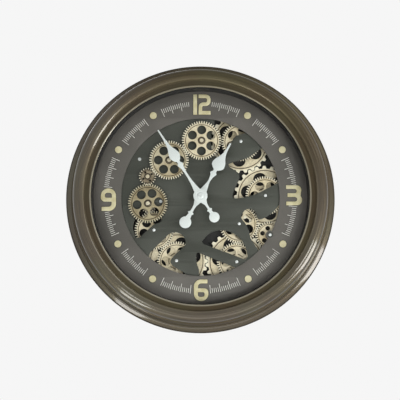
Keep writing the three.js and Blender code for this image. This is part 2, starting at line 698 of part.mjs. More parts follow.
function addDial() {
  const [tabX, tabY] = arbors[TAB_STUD].at;
  const tabDisc = (radius, back, front) =>
    disc(radius, back, front, STUD_FACETS).translate(tabX, tabY, 0);
  piece("numeral_ring", cut(
    joined(
      washer(ringInner, linerRadius - RUNNING, ringBack, ringFront, CASE_FACETS),
      tabDisc(TAB_RADIUS, ringBack, ringFront),
    ),
    tabDisc(studBore + RUNNING / 2, ringBack - OVERCUT, ringFront + OVERCUT),
  ), RING_GREY);
  const throughStuds = [...REAR_STUDS, ...FRONT_STUDS, "d"].map((name) => arbors[name].at);
  const round = (places, radius) => places.map(([x, y]) => circle(x, y, radius, STUD_FACETS));
  piece("centre_plate", sheet(circle(0, 0, plateRadius, CASE_FACETS), [
    ...PLATE_CUTS,
    circle(0, 0, bushOuter + RUNNING, SMALL_FACETS),
    ...round(throughStuds, studBore + RUNNING / 2),
    ...round(PLATE_SCREWS, SCREW_RADIUS + RUNNING),
    ...round(HIDDEN_PILLARS, SPIGOT_RADIUS + RUNNING),
  ], plateBack, plateFront), PLATE_GREY);
}

// Pillars stand on the back panel, with a spigot into it, and carry the plate.
function addPillars() {
  const base = [
    [0, PANEL_RECESS],
    [SPIGOT_RADIUS, PANEL_RECESS],
    [SPIGOT_RADIUS, panelFront + SEAT],
    [PILLAR_RADIUS, panelFront + SEAT],
    [PILLAR_RADIUS, plateBack - SEAT],
  ];
  const drilled = turned([
    ...base,
    [SCREW_RADIUS + RUNNING, plateBack - SEAT],
    [SCREW_RADIUS + RUNNING, plateBack - 2 * SEAT - SCREW_GRIP - SEAT],
    [0, plateBack - 2 * SEAT - SCREW_GRIP - SEAT],
  ], STUD_FACETS);
  const spigoted = turned([
    ...base,
    [SPIGOT_RADIUS, plateBack - SEAT],
    [SPIGOT_RADIUS, plateFront],
    [0, plateFront],
  ], STUD_FACETS);
  PLATE_SCREWS.forEach((place, i) => {
    const grip = SEAT + PLATE_THICKNESS + SEAT + SCREW_GRIP;
    piece(`pillar_${i + 1}`, drilled, STEEL, place);
    piece(`plate_screw_${i + 1}`, screw(plateFront + SEAT, 1, grip), SILVER, place);
  });
  HIDDEN_PILLARS.forEach((place, i) => {
    piece(`pillar_${PLATE_SCREWS.length + i + 1}`, spigoted, STEEL, place);
  });
}

// Hands. Each half outline runs from the tail to the tip: [distance along the hand, half width].
// The hand is a little wider where it meets the hub's disc.
const ROOT_FLARE = 1.5;

const HOUR_TILT = -29.7; // degrees from twelve, negative is clockwise
const MINUTE_TILT = 32.7;

const HOUR_HAND = {
  tail: { at: -66, radius: 14 },
  neck: [[-48, 4.6], [-46.5, 2.6], [-38, 2.2], [-26, 3.2]],
  blade: [[24, 5], [37, 2.2], [50, 4], [57, 7.4], [60, 6.4], [62, 3.2], [67, 2.4]],
  bulb: [[70, 8], [77, 14.5], [87, 13], [97, 7.6], [108, 3.4], [122, 1.6]],
  tip: [134, 0.6],
};
const MINUTE_HAND = {
  tail: { at: -56, radius: 11.7 },
  neck: [[-41, 4], [-39.5, 2.3], [-34, 2], [-25, 2.8]],
  blade: [[26, 4.6], [40, 3], [55, 2.4], [72, 3.6], [81.4, 6.6], [84, 5.6], [86, 2.8], [90, 2.2]],
  bulb: [[94, 7.2], [103.4, 11.7], [114, 9.6], [125, 5.2], [141, 2], [158, 1.2]],
  tip: [172, 0.5],
};

// The right half from the tail to the tip, with round stretches at the tail ball and the hub.
function halfOutline({ tail, neck, blade, bulb, tip }) {
  const ballEnd = Math.asin(neck[0][1] / tail.radius);
  const hubEnd = (width) => Math.asin((width * ROOT_FLARE) / HUB_DISC_RADIUS);
  const round = (at, radius, from, to, steps) =>
    arc(at, 0, radius, (from * 180) / Math.PI, (to * 180) / Math.PI, steps);
  return [
    ...round(tail.at, tail.radius, Math.PI, ballEnd, 6),
    ...neck,
    ...round(0, HUB_DISC_RADIUS, Math.PI - hubEnd(neck.at(-1)[1]), hubEnd(blade[0][1]), 6),
    ...blade,
    ...bulb,
    tip,
  ];
}

function hand(form, back, bore) {
  const half = halfOutline(form);
  const right = half.map(([along, width]) => [width, along]);
  const left = half.slice(1).reverse().map(([along, width]) => [-width, along]);
  return sheet([...right, ...left], [circle(0, 0, bore, SMALL_FACETS)], back, back + HAND_THICKNESS);
}

const pipeInner = ARBOR_RADIUS + RUNNING;
const pipeOuter = pipeInner + PIPE_WALL;
const pipeBack = plateBack - PIPE_ROOT;

function addHands() {
  piece("hour_hand", hand(HOUR_HAND, hourBack, pipeOuter + RUNNING), SILVER, [0, 0], radians(HOUR_TILT));
  piece("minute_hand", hand(MINUTE_HAND, minuteBack, ARBOR_RADIUS + RUNNING), SILVER,
    [0, 0], radians(MINUTE_TILT));
  const hourFront = hourBack + HAND_THICKNESS;
  piece("hour_pipe", washer(pipeInner, pipeOuter, pipeBack, hourFront + HAND_GAP / 2), STEEL);
  const arborTip = handCapBack + HAND_CAP_HEIGHT / 2;
  piece("minute_arbor", disc(ARBOR_RADIUS, pipeBack, arborTip), STEEL);
  piece("hand_cap", turned([
    [ARBOR_RADIUS + RUNNING, handCapBack],
    [HAND_CAP_RADIUS, handCapBack],
    [HAND_CAP_RADIUS, handCapBack + HAND_CAP_HEIGHT * HEAD_EDGE],
    [HAND_CAP_RADIUS * HEAD_TAPER, handCapBack + HAND_CAP_HEIGHT],
    [0, handCapBack + HAND_CAP_HEIGHT],
    [0, arborTip + SEAT],
    [ARBOR_RADIUS + RUNNING, arborTip + SEAT],
  ]), SILVER);
}

// Movement, with its bush through the plate, and the motor

// A bar that lies along x.
const barAlong = (length, radius, x, y, z) =>
  new THREE.CylinderGeometry(radius, radius, length, SMALL_FACETS)
    .rotateZ(Math.PI / 2)
    .translate(x, y, z);

function cell(x, y, z) {
  return joined(
    barAlong(CELL_LENGTH, CELL_RADIUS, x - CELL_TIP / 2, y, z),
    barAlong(CELL_TIP * 2, CELL_TIP_RADIUS, x + CELL_LENGTH / 2 - CELL_TIP / 2, y, z),
  );
}

function addMovement() {
  const front = plateBack - SEAT;
  const bushTop = plateFront + BUSH_RISE;
  const pocket = [CELL_LENGTH + CELL_TIP + CONTACT_ROOM, 2 * (CELL_RADIUS + CELL_POCKET_GAP)];
  const cellDepth = movementBack + CELL_RADIUS + CELL_POCKET_GAP;
  piece("movement_case", cut(
    joined(
      block(0, 0, MOVEMENT_SIZE, MOVEMENT_SIZE, movementBack, front),
      disc(bushOuter, front - OVERCUT, bushTop),
    ),
    disc(bushInner, pipeBack - SEAT, bushTop + OVERCUT),
    block(0, MOVEMENT_CELL_Y, ...pocket, movementBack - OVERCUT, movementBack + pocket[1]),
    disc(KNOB_STEM + RUNNING, movementBack - OVERCUT, movementBack + KNOB_HEIGHT).translate(...KNOB_AT, 0),
  ), BLACK);
  piece("movement_cell", cell(0, MOVEMENT_CELL_Y, cellDepth), CELL_GREEN);
  const nutHoles = [circle(0, 0, bushOuter + RUNNING, SMALL_FACETS)];
  piece("movement_nut", sheet(
    circle(0, 0, NUT_RADIUS, 6), nutHoles, plateFront + SEAT, plateFront + SEAT + NUT_HEIGHT), STEEL);
  piece("set_knob", turned([
    [0, movementBack - SEAT - KNOB_HEIGHT],
    [KNOB_RADIUS, movementBack - SEAT - KNOB_HEIGHT],
    [KNOB_RADIUS, movementBack - SEAT],
    [KNOB_STEM, movementBack - SEAT],
    [KNOB_STEM, movementBack + KNOB_HEIGHT - SEAT],
    [0, movementBack + KNOB_HEIGHT - SEAT],
  ]), CREAM, KNOB_AT);
}

function addMotor() {
  const { at, turns } = arbors.motor;
  const back = panelFront + SEAT;
  piece("gear_motor", turned([
    [0, back],
    [MOTOR_RADIUS, back],
    [MOTOR_RADIUS, back + MOTOR_CAN_HEIGHT],
    [STUD_COLLAR, back + MOTOR_CAN_HEIGHT],
    [MOTOR_SHAFT, layerTwo - SEAT],
    [MOTOR_SHAFT, layerTwo + WHEEL_FACE],
    [0, layerTwo + WHEEL_FACE],
  ]), MOTOR_GREY, at);
  const bore = circle(0, 0, MOTOR_SHAFT + RUNNING, STUD_FACETS);
  piece("motor_pinion", sheet(
    toothed("pinion", turns.pinion), [bore], layerTwo, layerTwo + WHEEL_FACE), CREAM, at);
}

// Battery box for the motor, its door and its switch

function addBatteryBox() {
  const [x, y] = BOX_AT;
  const rear = PANEL_RECESS;
  const front = rear + BOX_DEPTH;
  const flangeBack = panelFront + SEAT;
  const pinDepth = rear - DOOR_THICKNESS / 2;
  const earX = boxOuter[0] / 2 - BOX_WALL / 2;
  const earY = y + boxOuter[1] / 2 - EAR_HEIGHT / 2;
  const ear = (side) =>
    block(x + side * earX, earY, BOX_WALL, EAR_HEIGHT, pinDepth - EAR_RISE, rear + OVERCUT);
  const pinHole = barAlong(boxOuter[0] + OVERCUT, DOOR_PIN_RADIUS + RUNNING, x, doorPinY, pinDepth);
  piece("battery_box", cut(
    joined(
      block(x, y, ...boxOuter, rear, front),
      block(x, y, boxOuter[0] + 2 * BOX_FLANGE, boxOuter[1] + 2 * BOX_FLANGE, flangeBack, front),
      ear(-1),
      ear(1),
    ),
    block(x, y, ...boxInner, rear - OVERCUT, front - BOX_WALL),
    pinHole,
  ), BLACK);
  const cellDepth = front - BOX_WALL - CELL_POCKET_GAP - CELL_RADIUS;
  [-1, 1].forEach((side, i) => {
    const cellY = y + side * (CELL_RADIUS + CELL_POCKET_GAP / 2);
    piece(`motor_cell_${i + 1}`, cell(x, cellY, cellDepth), CELL_GREEN);
  });
  const doorBottom = y - boxOuter[1] / 2;
  const doorSize = [boxInner[0] - 2 * RUNNING, doorPinY - doorBottom];
  piece("battery_door", joined(
    block(x, (doorBottom + doorPinY) / 2, ...doorSize, rear - DOOR_THICKNESS, rear - SEAT),
    barAlong(boxOuter[0], DOOR_PIN_RADIUS, x, doorPinY, pinDepth),
  ), BLACK);
}

function addSwitch() {
  const [x, y] = SWITCH_AT;
  const [knobWidth, knobHeight, knobRise] = SWITCH_KNOB;
  const [baseWidth, baseHeight, baseThickness] = SWITCH_BASE;
  const back = panelFront + SEAT;
  const knobBack = PANEL_RECESS - knobRise;
  piece("switch_slider", joined(
    block(x, y, knobWidth, knobHeight, knobBack, back + baseThickness / 2),
    block(x, y, baseWidth, baseHeight, back, back + baseThickness),
  ), CREAM);
  const pocket = [baseWidth + SWITCH_TRAVEL + 2 * RUNNING, baseHeight + 2 * RUNNING];
  const pocketFront = back + baseThickness + RUNNING;
  const housing = pocket.map((size) => size + 2 * BOX_WALL);
  const middle = x - SWITCH_TRAVEL / 2;
  piece("switch_housing", cut(
    block(middle, y, ...housing, back, pocketFront + BOX_WALL),
    block(middle, y, ...pocket, back - OVERCUT, pocketFront),
  ), BLACK);
}

addCase();
addBack();
addDial();
addTrain();
addPillars();
addHands();
addMovement();
addMotor();
addBatteryBox();
addSwitch();

export default clock;
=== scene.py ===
# Gear wall clock: an aged bronze case with a glass, a grey numeral ring, and a going train of
# champagne wheels before and behind a cut-out plate. Sizes are in millimetres from the dial's
# centre: x to the right, y up and depth out of the wall. One matrix takes them to the frame's
# metres.
import math

import bmesh
import bpy
from mathutils import Matrix, Vector


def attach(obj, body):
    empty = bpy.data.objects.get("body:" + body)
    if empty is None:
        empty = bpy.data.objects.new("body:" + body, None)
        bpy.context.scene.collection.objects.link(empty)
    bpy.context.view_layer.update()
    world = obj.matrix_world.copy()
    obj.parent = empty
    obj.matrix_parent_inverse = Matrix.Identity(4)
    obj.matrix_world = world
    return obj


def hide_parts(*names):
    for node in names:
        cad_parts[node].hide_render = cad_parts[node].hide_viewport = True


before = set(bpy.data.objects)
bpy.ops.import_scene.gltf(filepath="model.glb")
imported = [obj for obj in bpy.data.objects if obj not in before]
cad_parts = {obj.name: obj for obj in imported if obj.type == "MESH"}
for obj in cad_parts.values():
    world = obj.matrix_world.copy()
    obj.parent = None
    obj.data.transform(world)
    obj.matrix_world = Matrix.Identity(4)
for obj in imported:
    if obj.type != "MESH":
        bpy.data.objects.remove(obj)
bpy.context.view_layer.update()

TAU = 2 * math.pi
DIAL_HEIGHT = -0.235  # the dial's centre under the wall hook, in metres
TO_FRAME = Matrix((
    (0.001, 0, 0, 0),
    (0, 0, -0.001, 0),
    (0, 0.001, 0, DIAL_HEIGHT),
    (0, 0, 0, 1),
))

# Depths of the layers out of the wall
SEAT = 0.3  # between pieces that rest on each other
SUNK = 0.05  # how deep an applied part sits in what carries it
PANEL_BACK, PANEL_FRONT = 8, 13
LAYER_ONE, LAYER_TWO, LAYER_THREE, FRONT_LAYER = 16.3, 22.3, 28.3, 41.3
WHEEL_FACE = 4
HUB_BACK = LAYER_ONE - 0.2  # the rear hubs reach a little behind their wheels
PLATE_BACK, PLATE_FRONT = 33.8, 36.8
ON_PANEL, UNDER_PLATE, ON_PLATE = PANEL_FRONT + SEAT, PLATE_BACK - SEAT, PLATE_FRONT + SEAT
RING_BACK, RING_FRONT = 37.1, 40.3
CAP_BACK = 45.6
HOUR_BACK, MINUTE_BACK, HAND_THICKNESS = 50.6, 56.6, 2
MOVEMENT_BACK, MOVEMENT_FRONT = 17, 33.5

# Radii that several pieces share
LINER_RADIUS, GLASS_RADIUS = 236, 241.5
STUD_RADIUS, WHEEL_BORE, STUD_HOLE, HUB_BORE, HUB_RADIUS = 3, 3.3, 3.45, 5.0, 8
SCREW_HOLE, SPIGOT_HOLE = 2, 2.9
FINE_STEPS = 256  # sides of the largest circles


def put(name, data):
    """A new object in the scene."""
    made = bpy.data.objects.new(name, data)
    bpy.context.scene.collection.objects.link(made)
    return made


# Camera: the photograph's view, from a little under the dial's centre

camera_data = bpy.data.cameras.new("camera")
camera_data.lens, camera_data.shift_x, camera_data.shift_y = 77.224, -0.001, 0.1
camera = put("camera", camera_data)
camera.location = (0, -1.916, -0.4758)
camera.rotation_euler = (math.radians(90 + 4.424), 0, 0)
bpy.context.scene.camera = camera
bpy.context.scene.view_settings.view_transform = "Standard"


# Node trees, written as sums

class Wire:
    """One output of a node. A sum on wires adds its Math node to the wire's tree."""

    def __init__(self, tree, socket):
        self.tree, self.socket = tree, socket

    def sum(self, operation, *terms):
        return self.tree.add("ShaderNodeMath", terms, operation=operation)

    def __add__(self, other): return self.sum("ADD", self, other)
    def __radd__(self, other): return self.sum("ADD", other, self)
    def __sub__(self, other): return self.sum("SUBTRACT", self, other)
    def __rsub__(self, other): return self.sum("SUBTRACT", other, self)
    def __mul__(self, other): return self.sum("MULTIPLY", self, other)
    def __rmul__(self, other): return self.sum("MULTIPLY", other, self)
    def __truediv__(self, other): return self.sum("DIVIDE", self, other)
    def __mod__(self, other): return self.sum("FLOORED_MODULO", self, other)
    def __pow__(self, other): return self.sum("POWER", self, other)
    def __gt__(self, other): return self.sum("GREATER_THAN", self, other)
    def __lt__(self, other): return self.sum("LESS_THAN", self, other)
    def __abs__(self): return self.sum("ABSOLUTE", self)
    def least(self, other): return self.sum("MINIMUM", self, other)
    def most(self, other): return self.sum("MAXIMUM", self, other)
    def sine(self): return self.sum("SINE", self)
    def cosine(self): return self.sum("COSINE", self)
    def root(self): return self.sum("SQRT", self)

    def output(self, name):
        return Wire(self.tree, self.socket.node.outputs[name])


class Tree:
    """The nodes of one finish or one shape."""

    def __init__(self, tree):
        self.tree = tree

    def add(self, kind, values=(), out=0, **settings):
        """A node of a kind with its settings, then the values or wires of its sockets."""
        node = self.tree.nodes.new(kind)
        for name, value in settings.items():
            setattr(node, name, value)
        for key, value in values.items() if isinstance(values, dict) else enumerate(values):
            socket = node.inputs[key]
            for part in value if isinstance(value, list) else [value]:
                if isinstance(part, Wire):
                    self.tree.links.new(part.socket, socket)
                else:
                    solid = socket.type == "RGBA" and len(part) == 3
                    socket.default_value = (*part, 1) if solid else part
        return Wire(self, node.outputs[out]) if len(node.outputs) else None

    def split(self, vector):
        apart = self.add("ShaderNodeSeparateXYZ", (vector,))
        return [apart.output(axis) for axis in "XYZ"]

    def join(self, x, y, z):
        return self.add("ShaderNodeCombineXYZ", (x, y, z))

    def polar(self, radius, angle):
        return self.join(radius * angle.cosine(), radius * angle.sine(), 0.0)


def spaced(values):
    """The values under their sockets' names, where an underscore stands for a space."""
    return {name.replace("_", " "): value for name, value in values.items()}


def colour(red, green, blue):
    """A colour as it is seen on a screen, from 0 to 255, as the shaders want it."""
    return tuple(
        c / 12.92 if c <= 0.04045 else ((c + 0.055) / 1.055) ** 2.4
        for c in (red / 255, green / 255, blue / 255)
    )


# Finishes

class Finish(Tree):
    """A surface finish, which keeps the name of the material slot it is meant for."""

    def __init__(self, name, slot=None):
        self.slot = slot or name
        self.material = bpy.data.materials.new(name)
        self.material.use_nodes = True
        super().__init__(self.material.node_tree)
        self.tree.nodes.clear()
        self.spot = self.add("ShaderNodeTexCoord").output("Object")

    def dial_place(self):
        """x, y and depth of the spot being painted, and its distance from the dial's centre, in
        millimetres."""
        x, y, z = self.split(self.spot)
        across, up, depth = x * 1000, (z - DIAL_HEIGHT) * 1000, y * -1000
        return across, up, depth, (across * across + up * up).root()

    def mark(self):
        """What the piece's own attribute says about the spot."""
        held = self.add("ShaderNodeAttribute", attribute_name="on_wheel")
        return self.split(held.output("Vector"))

    def noise(self, scale, detail, roughness, at=None, stretch=(1, 1, 1)):
        """Cloudy noise with scale blotches in a metre, drawn out along an axis by a low stretch."""
        where = self.add("ShaderNodeMapping", {
            "Vector": at or self.spot, "Scale": tuple(scale * s for s in stretch)})
        return self.add("ShaderNodeTexNoise", {
            "Vector": where, "Scale": 1.0, "Detail": detail, "Roughness": roughness}).output("Fac")

    def rises(self, value, low, high, bottom=0.0, top=1.0):
        """Goes smoothly from bottom to top while the value goes from low to high."""
        return self.add("ShaderNodeMapRange", {
            "Value": value, "From Min": low, "From Max": high, "To Min": bottom, "To Max": top,
        }, interpolation_type="SMOOTHSTEP")

    def near(self, value, middle, reach):
        """One where the value meets the middle, none at that reach from it."""
        return self.rises(abs(value - middle), 0, reach, 1, 0)

    def mix(self, share, first, second):
        mixed = self.add("ShaderNodeMix", {0: share, 6: first, 7: second}, data_type="RGBA")
        return Wire(self, mixed.socket.node.outputs[2])

    def between(self, pattern, start, end, low, high):
        """A shade that goes from one screen colour to another while the pattern rises."""
        return self.mix(self.rises(pattern, start, end), colour(*low), colour(*high))

    def bump(self, height, distance):
        """Relief of a pattern from 0 to 1, that many metres deep."""
        return self.add("ShaderNodeBump", {"Height": height, "Distance": distance})

    def ended(self, shader):
        self.add("ShaderNodeOutputMaterial", {"Surface": shader})
        return self

    def paint(self, **values):
        """Ends the finish in one glossy shader."""
        return self.ended(self.add("ShaderNodeBsdfPrincipled", spaced(values)))

    def grained(self, shade, grain, glossy, matt, relief, metallic=0.0):
        """Ends the finish in a shade whose gloss and relief follow its grain."""
        return self.paint(
            Base_Color=shade, Metallic=metallic, Normal=self.bump(grain, relief),
            Roughness=self.rises(grain, 0.2, 0.8, glossy, matt))


def aged_bronze():
    """Brown bronze paint with an olive cast: rubbed pale on the crests and dark in the coves, with
    painted shade on the inner slope, deeper towards the upper left, and on the rim's outer edge."""
    f = Finish("aged_bronze")
    across, up, depth, radius = f.dial_place()
    hoop = f.join(across / radius, up / radius, (radius + depth) * 0.09)
    drawn = f.noise(4, 3, 0.55, hoop, (1, 1, 7))
    fine = f.noise(26, 3, 0.6, hoop, (1, 1, 9))
    cloud = f.noise(7, 3, 0.6)
    lip = f.rises(radius, 239.6, 240.8, 1, 0)
    crest = f.near(radius, 252.2, 3.2)
    slope = f.rises(radius, 240.2, 241.6) * f.rises(radius, 250.4, 251.4, 1, 0)
    corner = f.near(radius, 250.2, 2.2) * f.rises(depth, 78, 81, 1, 0)
    cove = f.rises(radius, 278.4, 280.4) * f.rises(depth, 20, 30)
    quirk = f.near(radius, 277, 1.2) * f.rises(depth, 66, 69)
    # The rim's outer edge is painted dark: painted shade on the side that faces away from the
    # lights.
    edge = f.rises(radius, 295.6, 298.6)
    fillet = f.near(radius, 278.4, 2.6)
    top_right = f.rises(across * 0.4 + up * 0.9, 60, 230)
    top_left = f.rises(up - across, -60, 300)
    shade = f.between(drawn, 0.35, 0.7, (60, 51, 36), (84, 73, 52))
    shade = f.mix(f.rises(cloud, 0.4, 0.66) * 0.5, shade, colour(76, 74, 50))
    shade = f.mix(f.rises(fine, 0.3, 0.75) * 0.15, shade, colour(44, 36, 25))
    # Painted shade on the inner slope, deeper towards the upper left.
    painted_slope_shade = slope * (top_left * 0.36 + 0.02)
    dark = (cove * 0.3).most(painted_slope_shade).most(corner * 0.15).most(quirk * 0.5).most(edge * 0.7)
    shade = f.mix(dark, shade, colour(22, 18, 12))
    shade = f.mix(crest * 0.15, shade, colour(160, 148, 118))
    shade = f.mix(lip, shade, colour(122, 116, 98))
    dull = slope.most(edge).most(cove)
    return f.paint(
        Base_Color=shade, Metallic=0.5 - dull * 0.45,
        Roughness=f.rises(drawn, 0.3, 0.8, 0.34, 0.4) + dull * 0.25,
        Specular_IOR_Level=0.15,
        Coat_Weight=(1 - dull * 0.95) * (1 - fillet * 0.8) * (1 - top_right * 0.85) * 0.6,
        Coat_Roughness=0.1, Coat_IOR=1.75,
        Normal=f.bump(fine, 0.00003))


def brushed_paint(name, low, high, metallic, roughness):
    """Satin paint with fine brushing and faint clouds between two colours."""
    f = Finish(name)
    brushed = f.noise(360, 3, 0.6)
    cloud = f.noise(7.2, 2, 0.5)
    shade = f.between(brushed * 0.12 + cloud * 0.88, 0.35, 0.65, low, high)
    return f.grained(shade, brushed, roughness - 0.02, roughness + 0.03, 0.000002, metallic)


def gear_gold(name, pale, deep, wash_and_shade, tip=(250, 243, 220), metallic=0.45, slot=None):
    """Gold paint on a wheel with dark specks in its grain, a painted highlight on its teeth, and
    painted shade in the grooves, in the holes and on the flanks. The piece's own attribute holds
    the spot on the wheel: its pitch circle has radius 1, and z is 1 on its front face and 0 on its
    back."""
    f = Finish(name, slot)
    x, y, height = f.mark()
    radius = (x * x + y * y).root()
    cloud = f.noise(28, 3, 0.6)
    grain = f.noise(420, 2, 0.6)
    wash_and_shade, tip = colour(*wash_and_shade), colour(*tip)
    shade = f.between(cloud, 0.35, 0.68, pale, deep)
    shade = f.mix(f.rises(grain, 0.35, 0.7) * 0.2, shade, wash_and_shade)
    # Painted highlight: the teeth turn pale cream towards their tips.
    shade = f.mix(f.rises(radius, 0.89, 0.97) * 0.85, shade, tip)
    # Painted shade on all that lies below the front face: the flanks, the grooves, the holes and
    # the back.
    shade = f.mix(f.rises(height, 0.82, 0.9, 1, 0) * 0.94, shade, wash_and_shade)
    return f.paint(
        Base_Color=shade, Metallic=metallic,
        Roughness=f.rises(cloud, 0.3, 0.7, 0.34, 0.46),
        Normal=f.bump(grain, 0.00006))


def plain_metal(name, low, high, roughness, metallic=0.85, slot=None):
    """Plated or turned metal with a fine even grain."""
    f = Finish(name, slot)
    grain = f.noise(720, 2, 0.6)
    spangle = f.add("ShaderNodeTexVoronoi", {"Vector": f.spot, "Scale": 90}).output("Distance")
    shade = f.between(spangle * 0.5 + grain * 0.5, 0.3, 0.7, low, high)
    return f.grained(shade, grain, roughness - 0.05, roughness + 0.08, 0.00003, metallic)


def moulded(name, low, high, roughness, scale=900.0, relief=0.00005, slot=None):
    """Plastic, rubber or sprayed paint with a fine moulded grain."""
    f = Finish(name, slot)
    grain = f.noise(scale, 2, 0.5)
    cloud = f.noise(scale * 0.03, 2, 0.5)
    shade = f.between(cloud * 0.7 + grain * 0.3, 0.35, 0.65, low, high)
    return f.grained(shade, grain, roughness - 0.08, roughness + 0.08, relief)


def cell_jacket():
    """A plain cell: a green jacket with a grey band at one end and bright metal ends. The piece's
    own attribute holds the spot's share of the cell's length."""
    f = Finish("cell_jacket")
    share = f.mark()[0]
    grain = f.noise(500, 2, 0.5)
    shade = f.between(grain, 0.3, 0.7, (52, 104, 70), (64, 118, 80))
    shade = f.mix(share > 0.72, shade, colour(176, 178, 176))
    metal = (share > 0.965).most(share < 0.03)
    shade = f.mix(metal, shade, colour(196, 196, 192))
    return f.paint(
        Base_Color=shade, Metallic=metal * 0.9, Roughness=f.rises(grain, 0.2, 0.8, 0.26, 0.36))


def clear_glass():
    """Float glass: clear from the front, with a reflection that grows as it is seen aslant."""
    f = Finish("clear_glass")
    smear = f.noise(5, 2, 0.5)
    gloss = f.add("ShaderNodeBsdfGlossy", {"Color": (1, 1, 1), "Roughness": 0.0})
    clear = f.add("ShaderNodeBsdfTransparent", {"Color": (0.985, 0.99, 0.985)})
    slant = f.add("ShaderNodeLayerWeight", {"Blend": 0.5}).output("Facing") ** 5
    share = slant * f.rises(smear, 0.3, 0.7, 0.8, 1)
    return f.ended(f.add("ShaderNodeMixShader", (share, clear, gloss)))


BRONZE = aged_bronze()
BLACK_PAINT = moulded("black_case", (30, 29, 28), (38, 37, 35), 0.62)
RUBBER = moulded("gasket_rubber", (24, 24, 24), (34, 34, 34), 0.85)
GLASS = clear_glass()
BOARD = moulded("black_board", (38, 37, 36), (50, 48, 46), 0.75, 260.0, 0.00012)
ZINC = plain_metal("zinc", (140, 140, 138), (178, 178, 176), 0.38)
RING_GREY = brushed_paint("ring_grey", (86, 83, 78), (100, 96, 91), 0.2, 0.5)
PLATE_GREY = brushed_paint("plate_grey", (57, 59, 52), (69, 71, 64), 0.2, 0.5)
CHAMPAGNE = gear_gold("champagne", (236, 224, 194), (210, 195, 160), (54, 41, 28))
WORN_GOLD = gear_gold(
    "worn_gold", (212, 202, 172), (178, 162, 128), (50, 39, 28), slot="olive_gold")
OLIVE_GOLD = gear_gold(
    "olive_gold", (180, 168, 136), (138, 124, 94), (44, 36, 27), (214, 206, 178))
PINION_GREY = gear_gold(
    "pinion_grey", (176, 164, 138), (122, 110, 90), (44, 36, 28), (236, 229, 206))
CREAM_METAL = gear_gold(
    "cream_metal", (222, 213, 188), (208, 197, 168), (50, 38, 26), metallic=0.3)
BRIGHT_STEEL = plain_metal("bright_steel", (196, 199, 198), (216, 219, 218), 0.4, 0.4)
PILLAR_STEEL = plain_metal("pillar_steel", (130, 130, 127), (164, 164, 160), 0.35)
HAND_SILVER = brushed_paint("hand_silver", (218, 224, 222), (232, 237, 235), 0.15, 0.4)
BRASS_NUT = plain_metal("brass_nut", (178, 150, 86), (208, 182, 116), 0.3)
BLACK_PLASTIC = moulded("black_plastic", (32, 32, 33), (42, 42, 43), 0.5)
CREAM_PLASTIC = moulded("cream_plastic", (214, 208, 188), (226, 221, 203), 0.5)
CELL = cell_jacket()
MOTOR_CAN = plain_metal("motor_can", (128, 130, 132), (158, 160, 162), 0.3)
NUMERAL_GOLD = plain_metal(
    "numeral_gold", (200, 190, 148), (216, 208, 172), 0.36, 0.3, slot="cream_metal")
# A dark paint that stands for shade: behind the holes of wheel G, and as painted shadows round the
# numerals and dots.
SHADOW_PAINT = moulded("dark_line", (44, 40, 34), (54, 49, 42), 0.7, slot="black_case")
TICK_SILVER = plain_metal(
    "tick_silver", (236, 235, 226), (250, 249, 242), 0.5, 0.0, slot="hand_silver")


# Shells: closed surfaces in dial space, which a piece is put together from

class Shell:
    """Points, faces, and for each point its place on its wheel."""

    def __init__(self, points, faces, marks=None):
        self.points = [Vector(p) for p in points]
        self.faces = [tuple(face) for face in faces]
        self.marks = marks or [Vector((0, 0, 1)) for _ in self.points]

    def __add__(self, other):
        start = len(self.points)
        return Shell(
            self.points + other.points,
            self.faces + [tuple(i + start for i in face) for face in other.faces],
            self.marks + other.marks)

    def moved(self, x=0.0, y=0.0, depth=0.0, turn=0.0, flip=False):
        """The shell faced to the wall where flip is set, turned about its axis and put in place."""
        matrix = Matrix.Translation((x, y, depth)) @ Matrix.Rotation(turn, 4, "Z")
        if flip:
            matrix = matrix @ Matrix.Rotation(math.pi, 4, "X")
        return Shell([matrix @ p for p in self.points], self.faces, self.marks)

    def marked(self, mark):
        return Shell(self.points, self.faces, [Vector(mark(p)) for p in self.points])


def remade(mesh, change):
    """Puts the mesh through a change on its vertices, edges and faces."""
    work = bmesh.new()
    work.from_mesh(mesh)
    change(work)
    work.to_mesh(mesh)
    work.free()


def shell_of(holder, weld=0.0):
    """The finished surface of an object as a shell. The object goes."""
    mesh = bpy.data.meshes.new_from_object(
        holder.evaluated_get(bpy.context.evaluated_depsgraph_get()))
    if weld:
        remade(mesh, lambda work: bmesh.ops.remove_doubles(work, verts=work.verts, dist=weld))
    made = Shell([v.co.copy() for v in mesh.vertices], [p.vertices[:] for p in mesh.polygons])
    holder.modifiers.clear()
    bpy.data.objects.remove(holder)
    bpy.data.meshes.remove(mesh)
    return made


def piece(name, shell, finish, *nodes, body="case", sharp=32):
    """A finished piece: its place is in its mesh, it stands for the nodes that are named, and it
    rides on a body of the clock, which is the case where none is given."""
    mesh = bpy.data.meshes.new(name)
    mesh.from_pydata([TO_FRAME @ p for p in shell.points], [], shell.faces)
    held = mesh.attributes.new("on_wheel", "FLOAT_VECTOR", "POINT")
    held.data.foreach_set("vector", [c for mark in shell.marks for c in mark])
    remade(mesh, lambda work: bmesh.ops.recalc_face_normals(work, faces=work.faces))
    mesh.polygons.foreach_set("use_smooth", [True] * len(mesh.polygons))
    mesh.set_sharp_from_angle(angle=math.radians(sharp))
    mesh.materials.append(finish.material)
    made = put(name, mesh)
    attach(made, body)
    if nodes:
        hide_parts(*nodes)


def arc(x, y, radius, first, last, steps):
    """Points of an arc between two angles in degrees."""
    turns = [math.radians(first + (last - first) * i / steps) for i in range(steps + 1)]
    return [(x + radius * math.cos(t), y + radius * math.sin(t)) for t in turns]


def circle(x, y, radius, steps):
    return arc(x, y, radius, 0, 360, steps)[:-1]


def holes(places, radius, steps=16):
    return [circle(x, y, radius, steps) for x, y in places]


def rectangle(x, y, width, height):
    w, h = width / 2, height / 2
    return [(x - w, y - h), (x + w, y - h), (x + w, y + h), (x - w, y + h)]


